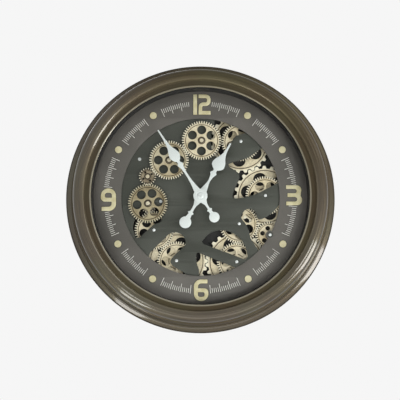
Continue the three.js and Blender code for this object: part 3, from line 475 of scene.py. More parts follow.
def smooth(points, steps=6):
    """A smooth open line through the points."""
    line = []
    last = len(points) - 1
    for i in range(last):
        near_by = (max(i - 1, 0), i, i + 1, min(i + 2, last))
        before, start, end, after = (Vector(points[k]) for k in near_by)
        for k in range(steps):
            t = k / steps
            pull = (end - before) * 0.5, (after - start) * 0.5
            line.append(tuple(
                (2 * t**3 - 3 * t**2 + 1) * start + (t**3 - 2 * t**2 + t) * pull[0]
                + (3 * t**2 - 2 * t**3) * end + (t**3 - t**2) * pull[1]))
    return line + [tuple(points[last])]


def turned(profile, steps):
    """A body turned about the dial's axis from a closed line of radius and depth."""
    points, rings = [], []
    for radius, depth in profile:
        if radius < 1e-6:
            rings.append([len(points)] * steps)
            points.append((0, 0, depth))
        else:
            rings.append(list(range(len(points), len(points) + steps)))
            points += [(*p, depth) for p in circle(0, 0, radius, steps)]
    faces = []
    for i, ring in enumerate(rings):
        following = rings[(i + 1) % len(rings)]
        for k in range(steps):
            n = (k + 1) % steps
            corners = list(dict.fromkeys((ring[k], ring[n], following[n], following[k])))
            if len(corners) > 2:
                faces.append(corners)
    return Shell(points, faces)


def tube(inner, outer, back, front):
    """A turned tube with an eased edge at the front."""
    edge = min(0.4, (front - back) * 0.4)
    shoulder = arc(outer - edge, front - edge, edge, 0, 90, 3)
    steps = 96 if outer > 12 else 48
    return turned([(outer, back)] + shoulder + [(inner, front), (inner, back)], steps)


def sawn(loops, back, front, edge=0.3, rounds=2, grown=0.0):
    """A sheet cut along its outline and holes, or a little outside them, with eased edges."""
    line = bpy.data.curves.new("outline", "CURVE")
    line.dimensions, line.fill_mode = "2D", "BOTH"
    line.extrude = (front - back) / 2 - edge
    line.bevel_depth, line.offset, line.bevel_resolution = edge, grown - edge, rounds
    for loop in loops:
        run = line.splines.new("POLY")
        run.points.add(len(loop) - 1)
        run.points.foreach_set("co", [c for x, y in loop for c in (x, y, 0, 1)])
        run.use_cyclic_u = True
    return shell_of(put("outline", line), weld=0.004).moved(depth=(front + back) / 2)


def block(x, y, size, back, front, edge=0.3, opening=None):
    """A block with eased edges, and a rectangular opening where its size is given."""
    loops = [rectangle(x, y, *sides) for sides in (size, opening) if sides]
    return sawn(loops, back, front, edge, 1)


# Shapes made by rule, in geometry nodes

FINE_MODULE, COARSE_MODULE = 1.75, 5.5
FINE_ROOT_DEPTH = 2.1  # in modules


class Recipe(Tree):
    """A shape that geometry nodes make from named sizes in millimetres."""

    def __init__(self, name, sizes):
        group = bpy.data.node_groups.new(name, "GeometryNodeTree")
        super().__init__(group)
        for label, size in sizes.items():
            kind = "NodeSocketInt" if isinstance(size, int) else "NodeSocketFloat"
            socket = group.interface.new_socket(label, in_out="INPUT", socket_type=kind)
            socket.default_value = size
        group.interface.new_socket("Material", in_out="INPUT", socket_type="NodeSocketMaterial")
        group.interface.new_socket("Shape", in_out="OUTPUT", socket_type="NodeSocketGeometry")
        self.entry = group.nodes.new("NodeGroupInput")

    def __getitem__(self, label):
        return Wire(self, self.entry.outputs[label])

    def index(self):
        return self.add("GeometryNodeInputIndex")

    def loop(self, radius, steps=48):
        return self.add("GeometryNodeCurvePrimitiveCircle", {"Resolution": steps, "Radius": radius})

    def spread(self, points, radius, angle):
        """The points moved to a distance and an angle from the middle."""
        return self.add("GeometryNodeSetPosition", {
            "Geometry": points, "Position": self.polar(radius, angle)})

    def on_each(self, points, shape, **more):
        """A copy of the shape on each point."""
        return self.add("GeometryNodeInstanceOnPoints", {
            "Points": points, "Instance": shape, **more})

    def together(self, *parts):
        return self.add("GeometryNodeJoinGeometry", {"Geometry": list(parts)})

    def welded(self, *parts):
        return self.add("GeometryNodeMergeByDistance", {
            "Geometry": self.together(*parts), "Distance": 0.01})

    def filled(self, lines, raised=1.0):
        """The flat area between the lines, and whether it stands above the groove's floor."""
        flat = self.add("GeometryNodeFillCurve", {"Curve": self.together(*lines)}, mode="TRIANGLES")
        return self.add("GeometryNodeStoreNamedAttribute", {
            "Geometry": flat, "Name": "raised", "Value": raised}, data_type="FLOAT", domain="FACE")

    def lifted(self, flat, chosen, height):
        """The chosen faces pulled straight up. It also says which faces are then on top."""
        out = self.add("GeometryNodeExtrudeMesh", {
            "Mesh": flat, "Selection": chosen, "Offset": self.join(0.0, 0.0, height),
            "Offset Scale": 1.0, "Individual": False})
        return out, out.output("Top")

    def solid(self, flat, height, edge, groove=None):
        """The flat area pulled up to a height, its upper edges eased and its back closed. With a
        groove's depth, what isn't raised stays that much lower."""
        body, top = self.lifted(flat, True, height - (edge if groove is None else groove))
        if groove is not None:
            raised = self.add(
                "GeometryNodeInputNamedAttribute", {"Name": "raised"}, data_type="FLOAT")
            body, top = self.lifted(body, top * raised, groove - edge)
        body, top = self.lifted(body, top, edge)
        x, y, _ = self.split(self.add("GeometryNodeInputNormal"))
        length = (x * x + y * y).root().most(0.1)
        drawn_in = self.add("GeometryNodeSetPosition", {
            "Geometry": body, "Selection": top,
            "Offset": self.join(x / length * edge * -1, y / length * edge * -1, 0.0)})
        return self.welded(drawn_in, self.add("GeometryNodeFlipFaces", {"Mesh": flat}))

    def served(self, shape):
        """The recipe's end: real geometry with the piece's material."""
        whole = self.add("GeometryNodeRealizeInstances", {"Geometry": shape})
        dressed = self.add("GeometryNodeSetMaterial", {
            "Geometry": whole, "Material": self["Material"]})
        end = self.tree.nodes.new("NodeGroupOutput")
        self.tree.links.new(dressed.socket, end.inputs[0])
        return self

    def made(self, finish, **sizes):
        """The shape for these sizes as a shell."""
        holder = put("blank", bpy.data.meshes.new("blank"))
        steps = holder.modifiers.new("recipe", "NODES")
        steps.node_group = self.tree
        wanted = spaced(sizes) | {"Material": finish.material}
        for item in self.tree.interface.items_tree:
            if item.in_out == "INPUT" and item.name in wanted:
                steps[item.identifier] = wanted[item.name]
        return shell_of(holder)


def wheel_recipe():
    """A toothed wheel: rim and web stand above a turned groove, round holes lighten the web, and a
    second groove runs round the hub. Each tooth has six corners: root, flank and tip, twice."""
    r = Recipe("toothed_wheel", {
        "Teeth": 48, "Pitch radius": 42.0, "Module": FINE_MODULE,
        "Root share": 0.28, "Flank share": 0.2, "Tip share": 0.12,
        "Root depth": FINE_ROOT_DEPTH, "Tip height": 0.95,
        "Holes": 6, "Hole radius": 9.9, "Hole reach": 23.7, "Groove radius": 35.4,
        "Groove width": 1.5, "Hub groove": 7.6, "Hub groove width": 1.8,
        "Bore": WHEEL_BORE, "Face": float(WHEEL_FACE), "Groove depth": 0.7, "Edge": 0.3})
    index = r.index()
    corner = index % 6
    step = corner.least(5 - corner)
    side = (corner > 2.5) * 2 - 1
    flank, tip = step > 0.5, step > 1.5
    share = r["Root share"] + flank * (r["Flank share"] - r["Root share"])
    share = share + tip * (r["Tip share"] - r["Flank share"])
    height = flank * r["Root depth"] - r["Root depth"] + tip * r["Tip height"]
    angle = ((index - corner) / 6 + share * side) * TAU / r["Teeth"]
    reach = r["Pitch radius"] + height * r["Module"]
    outline = r.spread(r.loop(1.0, r["Teeth"] * 6), reach, angle)
    places = r.add("GeometryNodeMeshCircle", {
        "Vertices": r["Holes"], "Radius": r["Hole reach"]}, fill_type="NONE")
    holes = r.add("GeometryNodeRealizeInstances", {
        "Geometry": r.on_each(places, r.loop(r["Hole radius"], 40))})
    half, hub_half = r["Groove width"] / 2, r["Hub groove width"] / 2
    rim_line, web_line = r.loop(r["Groove radius"] + half), r.loop(r["Groove radius"] - half)
    hub_outer, hub_inner = r.loop(r["Hub groove"] + hub_half), r.loop(r["Hub groove"] - hub_half)
    flat = r.welded(
        r.filled([outline, rim_line]),
        r.filled([rim_line, web_line], 0.0),
        r.filled([web_line, holes, hub_outer]),
        r.filled([hub_outer, hub_inner], 0.0),
        r.filled([hub_inner, r.loop(r["Bore"])]))
    return r.served(r.solid(flat, r["Face"], r["Edge"], r["Groove depth"]))


def track_recipe():
    """The minute track: 300 divisions, clockwise from twelve. Every fifth is long but for the
    hours, the ones between are short, and none stands next to an hour or behind a numeral."""
    r = Recipe("minute_track", {
        "Divisions": 300, "Long inner": 195.4, "Long outer": 213.9, "Short inner": 202.9,
        "Short outer": 212.8, "Width": 0.9, "Height": 0.25})
    index = r.index()
    angle = index * TAU / r["Divisions"]
    number = (r["Divisions"] / 4 - index) % r["Divisions"]
    after_hour = number % 25
    shown = after_hour > 0.5
    for behind_numeral in (5, 295, 70, 220):
        shown = shown * (abs(number - behind_numeral) > 0.5)
    fifth = (number % 5) < 0.5
    long = fifth * shown
    short = (1 - fifth) * (after_hour > 5.5) * (after_hour < 19.5)
    inner = long * r["Long inner"] + short * r["Short inner"]
    outer = long * r["Long outer"] + short * r["Short outer"]
    ring = r.add("GeometryNodeMeshCircle", {"Vertices": r["Divisions"]})
    tick = r.add("GeometryNodeMeshCube", {"Size": (1.0, 1.0, 1.0)})
    return r.served(r.on_each(
        r.spread(ring, (inner + outer) / 2, angle), tick, Selection=long + short,
        Rotation=r.join(0.0, 0.0, angle), Scale=r.join(outer - inner, r["Width"], r["Height"])))


def dots_recipe():
    """Round studs at the hours that have no numeral."""
    r = Recipe("hour_dots", {"Reach": 208.9, "Radius": 7.8, "Height": 1.2, "Edge": 0.5})
    dot = r.solid(r.filled([r.loop(r["Radius"], 40)]), r["Height"], r["Edge"])
    hours = r.add("GeometryNodeMeshCircle", {"Vertices": 12, "Radius": r["Reach"]})
    return r.served(r.on_each(hours, dot, Selection=(r.index() % 3) > 0.5))


def screws_recipe():
    """Pan head screws with a cross recess on a circle, each left at its own turn."""
    r = Recipe("cross_screws", {
        "Count": 4, "Spread": 276.0, "First": 0.785, "Head": 3.6, "Height": 1.6, "Arm": 2.1,
        "Slot": 0.45, "Recess": 0.8, "Shank": 1.6, "Grip": 4.0, "Edge": 0.45, "Seed": 7})
    index = r.index()
    corner = index % 3
    inner = corner > 1.5
    arm = (r["Arm"] * r["Arm"] + r["Slot"] * r["Slot"]).root()
    reach = arm + inner * (r["Slot"] * math.sqrt(2) - arm)
    swing = r["Slot"] / r["Arm"]
    angle = (index - corner) / 3 * (TAU / 4) + (1 - inner) * swing * (2 * (corner > 0.5) - 1)
    cross = r.spread(r.loop(1.0, 12), reach, angle + inner * (TAU / 8))
    flat = r.welded(r.filled([r.loop(r["Head"], 28), cross]), r.filled([cross], 0.0))
    head = r.solid(flat, r["Height"], r["Edge"], r["Recess"])
    shank = r.add("GeometryNodeTransform", {
        "Geometry": r.add("GeometryNodeMeshCylinder", {
            "Vertices": 16, "Radius": r["Shank"], "Depth": r["Grip"]}),
        "Translation": r.join(0.0, 0.0, r["Grip"] * -0.5 + 0.3)})
    turns = r.add("FunctionNodeRandomValue", {
        2: 0.0, 3: TAU, "Seed": r["Seed"]}, out=1, data_type="FLOAT")
    line = r.add("GeometryNodeMeshLine", {"Count": r["Count"]})
    seats = r.spread(line, r["Spread"], r["First"] + index * TAU / r["Count"])
    return r.served(r.on_each(
        seats, r.together(head, shank), Rotation=r.join(0.0, 0.0, turns)))


def fluted_recipe():
    """A finger knob with flutes round its edge."""
    r = Recipe("fluted_knob", {
        "Flutes": 20, "Radius": 8.0, "Depth": 0.7, "Height": 5.0, "Edge": 0.5})
    angle = r.index() * TAU / (r["Flutes"] * 6)
    reach = r["Radius"] - r["Depth"] * (0.5 + 0.5 * (angle * r["Flutes"]).cosine())
    outline = r.spread(r.loop(1.0, r["Flutes"] * 6), reach, angle)
    return r.served(r.solid(r.filled([outline]), r["Height"], r["Edge"]))


def ribs_recipe():
    """Half round ribs side by side, sunk to their middle in what carries them."""
    r = Recipe("grip_ribs", {"Ribs": 6, "Pitch": 2.4, "Length": 30.0, "Radius": 0.7})
    rib = r.add("GeometryNodeTransform", {
        "Geometry": r.add("GeometryNodeMeshCylinder", {
            "Vertices": 12, "Radius": r["Radius"], "Depth": r["Length"]}),
        "Rotation": (0.0, math.pi / 2, 0.0)})
    line = r.add("GeometryNodeMeshLine", {
        "Count": r["Ribs"], "Start Location": r.join(0.0, (r["Ribs"] - 1) * r["Pitch"] * -0.5, 0.0),
        "Offset": r.join(0.0, r["Pitch"], 0.0)})
    return r.served(r.on_each(line, rib))


# Case: the bezel's mouldings from the wall to the glass

def bezel_profile():
    rear = [(282.6, 0), (290.2, 0), (290.8, 0.6)]
    rim = arc(293, 12, 7, -62, 0, 8)[:-1] + smooth([
        (300, 11.8), (299.5, 13.6), (298.2, 15.2), (295.8, 16.9), (292.4, 18.4), (289.6, 19.2),
        (288.2, 19.2)], 4)
    reed = arc(286.8, 22.6, 2.0, -30, 100, 7)
    cove = smooth([(285.8, 25.4), (284.4, 33), (282.6, 46), (280.8, 58), (280.4, 62.5)], 3)
    fillet = arc(278.4, 66.2, 2.0, -25, 80, 8)
    quirk = [(277.6, 68.4), (276.7, 68.8)]
    crown = [(264.6 + 12 * x, 70.2 + 14.9 * y) for x, y in arc(0, 0, 1, 0, 84, 21)]
    line = [(264.6, 85.1), (263.6, 85.0)]
    band = arc(260.9, 83.8, 2.5, 33, 93, 6) + [(257.8, 85.6)]
    crest = arc(257.2, 77.8, 7, 103, 145, 8)
    slope = smooth([(251, 80.8), (250.8, 78.2), (249.6, 76.4), (246, 75.2), (242.6, 74.2)], 4)
    lip = arc(239.3, 71.9, 2.3, 75, 255, 12)
    inside = [
        (242.1, 69.7), (256, 74.4), (272.5, 61.4), (278.6, 24.3), (270.6, 20.3),
        (270.6, ON_PANEL), (282.6, ON_PANEL)]
    outside = rear + rim + reed + cove + fillet + quirk + crown + line + band + crest
    return outside + slope + lip + inside


piece("bezel_mouldings", turned(bezel_profile(), 288), BRONZE, "bezel", sharp=40)

piece("liner_wall", turned([
    (LINER_RADIUS, ON_PANEL), (GLASS_RADIUS, ON_PANEL), (GLASS_RADIUS, 64.9), (LINER_RADIUS, 64.9),
    (LINER_RADIUS, 36.8), (228, 36.8), (228, 32.8), (LINER_RADIUS, 32.8)], FINE_STEPS),
    BLACK_PAINT, "case_liner")

piece("gasket_band", turned([
    (236.3, 65.2), (GLASS_RADIUS, 65.2), (GLASS_RADIUS, 66.1), (236.3, 66.1)], FINE_STEPS),
    RUBBER, "glass_gasket")

piece("glass_pane", turned([
    (0, 66.4), (241.2, 66.4), (GLASS_RADIUS, 66.7), (GLASS_RADIUS, 69.1), (241.2, 69.4),
    (0, 69.4)], FINE_STEPS), GLASS, "glass")


# Train: each arbor's place and the turn of its wheels follow from the wheel before it

SIZES = {  # teeth and module
    "fine": (48, FINE_MODULE), "third": (34, FINE_MODULE), "pinion": (20, FINE_MODULE),
    "coarse": (24, COARSE_MODULE), "leaf": (8, COARSE_MODULE),
}
arbors = {"i": {"at": Vector((-102.2, -73.3)), "fine": 0.0}}


def pitch_radius(size):
    teeth, module = SIZES[size]
    return teeth * module / 2


def engage(start, start_size, end, end_size, heading):
    """Puts an arbor in mesh with another one, heading degrees from it, with tooth against gap."""
    angle = math.radians(heading)
    turn = arbors[start].setdefault(start_size, 0.0)
    ratio = SIZES[start_size][0] / SIZES[end_size][0]
    reach = pitch_radius(start_size) + pitch_radius(end_size)
    arbors[end] = {
        "at": arbors[start]["at"] + reach * Vector((math.cos(angle), math.sin(angle))),
        end_size: angle + math.pi - ratio * (turn - angle) - math.pi / SIZES[end_size][0],
    }


engage("i", "fine", "motor", "pinion", 36.8)
engage("i", "fine", "d", "pinion", 102.8)
engage("d", "fine", "c", "pinion", 90.8)
engage("c", "pinion", "b", "fine", 37.7)
engage("b", "fine", "a", "fine", 31.4)
engage("i", "fine", "j", "fine", -53.6)
engage("j", "coarse", "k", "coarse", -1)
engage("k", "fine", "h", "fine", 86)
engage("h", "fine", "g", "third", -20.2)
engage("g", "leaf", "f", "coarse", 96.2)
engage("f", "coarse", "e", "coarse", 113.9)

# How many teeth on each wheel is set in its mesh, so that its holes stand as in the photo
TEETH_ON = {
    "b": {"fine": 4}, "d": {"fine": 1}, "e": {"fine": 3, "coarse": -1}, "f": {"coarse": -1},
    "g": {"third": -1}, "h": {"fine": -2}, "i": {"fine": 2}, "j": {"fine": -1, "coarse": 1},
}
for name, shifts in TEETH_ON.items():
    for size, teeth_on in shifts.items():
        arbors[name][size] = arbors[name].get(size, 0.0) + teeth_on * TAU / SIZES[size][0]

# What the wheels of each size change in the fine wheel
COARSE_TOOTH = {"Root_share": 0.3, "Flank_share": 0.22, "Tip_share": 0.14, "Root_depth": 0.62,
                "Tip_height": 0.48}
WEBS = {
    "fine": {},
    "third": dict(Hole_radius=5.1, Hole_reach=16.2, Groove_radius=24.2, Groove_width=1.2,
                  Hub_groove=8.7, Hub_groove_width=0.8),
    "pinion": dict(Holes=4, Hole_radius=2.5, Hole_reach=10.4, Groove_radius=14.0,
                   Groove_width=0.8, Hub_groove=6.6, Hub_groove_width=0.8),
    "coarse": dict(COARSE_TOOTH, Hole_radius=14.6, Hole_reach=39.6, Groove_radius=58.2,
                   Groove_width=1.7, Hub_groove=17.5, Hub_groove_width=1.5),
    "leaf": dict(COARSE_TOOTH, Holes=0, Hole_radius=1.0, Hole_reach=1.0, Groove_radius=16.0,
                 Groove_width=0.8, Hub_groove=11.0, Hub_groove_width=0.8),
}
WHEEL = wheel_recipe()


def toothed(size, turn, back, bore, finish, **changes):
    """One wheel about its own centre, with each point's place on it: its pitch circle has radius 1
    and its front face depth 1. A dark ring behind fine teeth is painted shade in their gaps."""
    teeth, module = SIZES[size]
    pitch = pitch_radius(size)
    wheel = WHEEL.made(finish, Teeth=teeth, Module=module, Pitch_radius=pitch, Bore=bore,
                       **(WEBS[size] | changes))
    wheel = wheel.marked(lambda p: (p.x / pitch, p.y / pitch, p.z / WHEEL_FACE))
    if module == FINE_MODULE:
        below_root = pitch - module * FINE_ROOT_DEPTH - 1.2
        # Painted shade: a dark ring under the teeth darkens the gaps between them.
        gap_shade_ring = tube(below_root, pitch - 0.2, -0.5, SUNK)
        wheel = wheel + gap_shade_ring.marked(lambda p: (0, 0, 0))
    return wheel.moved(depth=back, turn=turn)


def shaded_below(shell, depth):
    """Marks all that lies lower than the depth for painted shade."""
    return shell.marked(lambda p: (0, 0, 1 if p.z > depth else 0))


def front_wheel(name, size, boss, node, finish):
    arbor = arbors[name]
    shell = toothed(size, arbor[size], FRONT_LAYER, WHEEL_BORE, finish)
    shell = shell + tube(STUD_HOLE, boss, ON_PLATE, FRONT_LAYER + 2)
    piece(f"{node}_toothed", shell.moved(*arbor["at"]), finish, node, body=f"train_{name}")


def rear_wheel(name, front, front_back, rear=None):
    arbor = arbors[name]
    shell = toothed(front, arbor.get(front, 0.0), front_back, HUB_BORE, CHAMPAGNE)
    if rear == "coarse":
        shell = shell + toothed(rear, arbor[rear], LAYER_ONE, HUB_BORE, CHAMPAGNE)
    if rear == "leaf":
        # The leaves are painted in the shade colour so that the holes of the wheel before them look
        # dark: painted shade.
        leaves = toothed(rear, arbor[rear], LAYER_ONE, HUB_BORE, SHADOW_PAINT)
        piece(f"wheel_{name}_leaves", leaves.moved(*arbor["at"]), SHADOW_PAINT, body=f"train_{name}")
    shell = shell + tube(WHEEL_BORE, HUB_RADIUS, HUB_BACK, UNDER_PLATE)
    piece(f"wheel_{name}_toothed", shell.moved(*arbor["at"]), CHAMPAGNE, f"wheel_{name}",
          body=f"train_{name}")


front_wheel("a", "fine", HUB_RADIUS, "wheel_a", CHAMPAGNE)
front_wheel("b", "fine", HUB_RADIUS, "wheel_b", WORN_GOLD)
front_wheel("c", "pinion", 6, "pinion_c", PINION_GREY)
front_wheel("d", "fine", HUB_RADIUS, "wheel_d", OLIVE_GOLD)
rear_wheel("e", "fine", LAYER_THREE, "coarse")
rear_wheel("f", "fine", LAYER_THREE, "coarse")
rear_wheel("g", "third", LAYER_TWO, "leaf")
rear_wheel("h", "fine", LAYER_TWO)
rear_wheel("i", "fine", LAYER_TWO)
rear_wheel("j", "fine", LAYER_TWO, "coarse")
rear_wheel("k", "fine", LAYER_TWO, "coarse")

motor = arbors["motor"]
pinion = toothed("pinion", motor["pinion"], LAYER_TWO, 2.1, CREAM_METAL, Holes=0)
piece("motor_pinion_toothed", pinion.moved(*motor["at"]), CREAM_METAL, "motor_pinion",
      body="motor_output")


# Studs and caps

def cap_profile(back):
    nose = [(4.5, back + 1.2), (4.4, back + 1.5)] + arc(3.4, back + 2.2, 0.8, 0, 90, 3)
    return [(6.6, back)] + arc(6.1, back + 0.7, 0.5, 0, 90, 3) + nose + [
        (1.6, back + 3.0), (1.2, back + 2.6), (0, back + 2.5)]


def capped(foot):
    """A turned stud from its foot to its cap, with painted shade below the cap's nose."""
    stud = turned(foot + [(STUD_RADIUS, CAP_BACK)] + cap_profile(CAP_BACK), 32)
    return shaded_below(stud, CAP_BACK + 1.4)


def rear_stud(face):
    foot, head = ON_PANEL + 2.4, face + SEAT
    return turned([
        (0, ON_PANEL), (5.5, ON_PANEL), (5.5, foot), (STUD_RADIUS, foot), (STUD_RADIUS, head),
        (3.5, head), (3.5, head + 0.3)] + arc(0, head - 3.4, 5.1, 47, 90, 6), 28)


rivet = UNDER_PLATE - 0.75
front_stud = capped([(0, rivet), (4, rivet), (4, UNDER_PLATE), (STUD_RADIUS, UNDER_PLATE)])
for name in "abc":
    piece(f"stud_{name}_turned", front_stud.moved(*arbors[name]["at"]), CREAM_METAL, f"stud_{name}")
for name in "efghijk":
    stud = rear_stud(RING_FRONT if name == "g" else PLATE_FRONT)
    piece(f"stud_{name}_turned", stud.moved(*arbors[name]["at"]), BRIGHT_STEEL, f"stud_{name}")

washer = tube(3.5, 6.9, RING_FRONT + 0.02, RING_FRONT + 0.32)
piece("stud_g_washer", washer.moved(*arbors["g"]["at"]), PLATE_GREY)

shaft = capped([(0, LAYER_TWO - 2), (HUB_RADIUS, LAYER_TWO - 2), (HUB_RADIUS, UNDER_PLATE),
                (STUD_RADIUS, UNDER_PLATE)])
leaves = toothed("pinion", arbors["d"]["pinion"], LAYER_TWO, HUB_BORE, CREAM_METAL, Holes=0)
piece("arbor_d_turned", (shaft + leaves).moved(*arbors["d"]["at"]), CREAM_METAL, "arbor_d",
      body="train_d")


# Numeral ring and centre plate

RING_INNER, RING_OUTER = 174.3, 235.7
TAB_RADIUS = 9.5
tab = arbors["g"]["at"]


def ring_inner_line():
    """The ring's inner edge, with the round tab that reaches in under wheel G's stud."""
    heading, reach = math.degrees(math.atan2(tab.y, tab.x)), tab.length
    half = math.degrees(math.acos(
        (RING_INNER**2 + reach**2 - TAB_RADIUS**2) / (2 * RING_INNER * reach)))
    line = arc(0, 0, RING_INNER, heading + half, heading + 360 - half, 240)
    first, last = (math.degrees(math.atan2(y - tab.y, x - tab.x)) for x, y in (line[-1], line[0]))
    sweep = (last - first) % 360 - 360
    return line + arc(*tab, TAB_RADIUS, first, first + sweep, 20)[1:-1]


ring_lines = [circle(0, 0, RING_OUTER, FINE_STEPS), ring_inner_line(), circle(*tab, STUD_HOLE, 20)]
piece("numeral_ring_sheet", sawn(ring_lines, RING_BACK, RING_FRONT, 0.35), RING_GREY,
      "numeral_ring")

CUT_RADIUS = 177.3


def ring_cut(first, last, edge):
    """A cut-out that opens under the numeral ring: an arc, then a smooth edge back."""
    steps = max(2, round(abs(last - first) / 3))
    return arc(0, 0, CUT_RADIUS, first, last, steps) + smooth(edge)


PLATE_CUTS = [
    ring_cut(54, 79.5, [
        (29, 157), (25, 140), (24, 118), (27, 98), (36, 88.5), (52, 96), (61.5, 106), (67, 121),
        (81, 137)]),
    ring_cut(10.5, 38.5, [
        (132, 106), (105.7, 88), (89.7, 82.1), (72, 77.2), (61.1, 70.3), (76.9, 58.4), (84.8, 51.5),
        (85.7, 40.6), (80, 26.7), (73, 11.9), (72, -1.9), (84.8, -3), (105.7, 1), (127.4, 8.5),
        (155, 22.7)]),
    ring_cut(-26, -4.5, [
        (168, -25), (154.4, -38.4), (142.4, -46), (128, -49.2), (121.5, -34), (114.1, -27.6),
        (104.8, -26.5), (96.6, -31.1), (89.3, -44.9), (99.2, -59.7), (107, -76), (110.3, -90.9),
        (121.4, -109.3)])
    + arc(0, 0, CUT_RADIUS, -43, -36.5, 2)
    + smooth([(149, -93.5), (146.8, -86), (149, -79.5), (155, -77.5)]),
    smooth([
        (2.9, -98.5), (19.5, -81.5), (41.4, -74.1), (64.7, -77.2), (85.5, -90.5), (98.1, -108.2),
        (103.4, -129.2), (100.5, -137.5)])
    + smooth([(93, -136.5), (53.8, -121.5), (7.1, -104.5)]),
    ring_cut(-91, -66, [(76.2, -155.6), (36, -139.5), (-4.4, -123)])
    + smooth([(-8.6, -124.5), (-9.5, -135.4), (-7.5, -148), (-3, -160.5)]),
    ring_cut(-130.5, -99, [
        (-34, -168), (-58.7, -153.2), (-65.5, -142.2), (-58.7, -130.4), (-43.4, -116.8),
        (-32.4, -104), (-37.4, -87.2), (-53.6, -77.9), (-70, -83), (-82, -95), (-97.7, -110),
        (-110.3, -123.5)]),
    smooth([
        (-132.7, -27.5), (-112.7, -20.9), (-95, -22), (-85.4, -34), (-86.5, -54), (-102.6, -61.9),
        (-122.3, -79.4), (-137, -92)])
    + smooth([(-142, -90), (-148, -70.5), (-146.4, -55)]),
]
BUSH_RADIUS = 7
PLATE_SCREWS = [(-134.5, 83.8), (-87.3, -10.1)]
HIDDEN_PILLARS = [(178, 76), (160, -126), (-140, -115)]
plate_holes = [circle(0, 0, BUSH_RADIUS + 0.4, 32)]
plate_holes += holes([arbors[name]["at"] for name in "abcdefghijk"], STUD_HOLE, 20)
plate_holes += holes(PLATE_SCREWS, SCREW_HOLE) + holes(HIDDEN_PILLARS, SPIGOT_HOLE)
plate_edge = circle(0, 0, 212, FINE_STEPS)
piece("centre_plate_sheet", sawn([plate_edge] + PLATE_CUTS + plate_holes, PLATE_BACK, PLATE_FRONT),
      PLATE_GREY, "centre_plate")


# Track, dots and numerals on the ring

PRINT_BACK = RING_FRONT - SUNK

track = track_recipe().made(TICK_SILVER)
TRACK_MIDDLE = RING_FRONT + 0.1
piece("minute_track", track.moved(depth=TRACK_MIDDLE), TICK_SILVER)
DOTS = dots_recipe()
piece("hour_dots", DOTS.made(NUMERAL_GOLD).moved(depth=PRINT_BACK), NUMERAL_GOLD)
# A dark ring a little wider than each dot, under it: a painted shadow.
painted_dot_rings = DOTS.made(SHADOW_PAINT, Radius=8.7, Height=0.35, Edge=0.15)
piece("hour_dot_shadow_rings", painted_dot_rings.moved(depth=PRINT_BACK), SHADOW_PAINT)


CORNER_LIMIT = 0.4  # keeps a stroke's sharp corners from reaching out too far


def stroke(line, width):
    """The outline of a line drawn with a square-ended pen."""
    sides = ([], [])
    for i, here in enumerate(line):
        before = Vector(here) - Vector(line[i - 1]) if i else None
        after = Vector(line[i + 1]) - Vector(here) if i + 1 < len(line) else None
        ways = [w.normalized() for w in (before, after) if w]
        way = sum(ways, Vector((0, 0))).normalized()
        reach = width / 2 / max(CORNER_LIMIT, way.dot(ways[0]))
        for side, sign in zip(sides, (1, -1)):
            side.append((here[0] - way.y * reach * sign, here[1] + way.x * reach * sign))
    return sides[0] + sides[1][::-1]


def numeral_outlines():
    """Each numeral's outlines. The nine is the six turned half round and a little larger."""
    one = [(-15.9, 182.9), (-7.4, 182.9), (-7.4, 228.4), (-15.9, 228.4)]
    two = stroke(
        [(-4.2, 224.3)] + arc(11.5, 217.3, 7, 90, 0, 8) + arc(11.5, 213.6, 7, 0, -90, 8)
        + arc(7, 199.6, 7, 90, 180, 8) + [(0, 187.2), (22.6, 187.2)], 8.2)
    three = [
        (188.7, 25.2)] + arc(211.5, 14.2, 11, 90, -25, 9) + arc(212.0, -7.2, 12, 45, -90, 10) + [
        (188.7, -19.2), (188.7, -10.9)] + arc(207.8, -5.8, 5.1, -90, 90, 8) + [
        (191.8, -0.8), (191.8, 7.6)] + arc(207.4, 12.3, 4.7, -90, 90, 8) + [(188.7, 17.0)]
    six = [(15.4, -182.2)] + arc(0.9, -197.4, 15.3, 90, 180, 9)
    six += arc(1.6, -213.6, 15.8, 180, 360, 16)
    six += arc(8.6, -210.3, 8.8, 0, 90, 6) + [(-5.4, -201.4)] + arc(1.4, -197.4, 6.5, 175, 90, 6)
    six += [(15.4, -190.8)]
    counter = [(-5.5, -209.8)] + arc(5.6, -213.2, 3.4, 90, 0, 4) + arc(4.2, -215.2, 4.8, 0, -90, 4)
    counter += arc(-0.8, -215.2, 4.8, -90, -180, 4)
    centre = Vector((1.5, -205.6))
    grown = [[tuple(Vector((-202.4, -6.8)) - (Vector(p) - centre) * 1.06) for p in line]
             for line in (six, counter)]
    return {"twelve": [one, two], "three": [three], "six": [six, counter], "nine": grown}


for name, lines in numeral_outlines().items():
    piece(f"numeral_{name}", sawn(lines, PRINT_BACK, RING_FRONT + 1.5, 0.5), NUMERAL_GOLD)
    # A dark outline a little wider than each numeral, under it: a painted shadow.
    piece(f"numeral_{name}_back", sawn(lines, PRINT_BACK, RING_FRONT + 0.3, 0.1, 1, 0.8), SHADOW_PAINT)


# Hands: half outlines as distance along the hand and half width

HUB_DISC = 15.4  # its radius
FLARE = 1.5  # how many times wider a hand grows where it meets the disc


def hand_outline(tail, neck, hips, spade, tip):
    """Both sides of a hand from its tail ball through the hub disc and the hips to its tip."""
    ball, ball_radius = tail
    ball_end = math.degrees(math.asin(neck[0][1] / ball_radius))
    hub_start = 180 - math.degrees(math.asin(neck[-1][1] * FLARE / HUB_DISC))
    hub_end = math.degrees(math.asin(hips[0][1] * FLARE / HUB_DISC))
    half = arc(ball, 0, ball_radius, 180, ball_end, 20) + neck[1:-1]
    half += arc(0, 0, HUB_DISC, hub_start, hub_end, 20) + smooth(hips, 4) + smooth(spade, 5) + [tip]
    return [(w, a) for a, w in half] + [(-w, a) for a, w in half[:0:-1]]


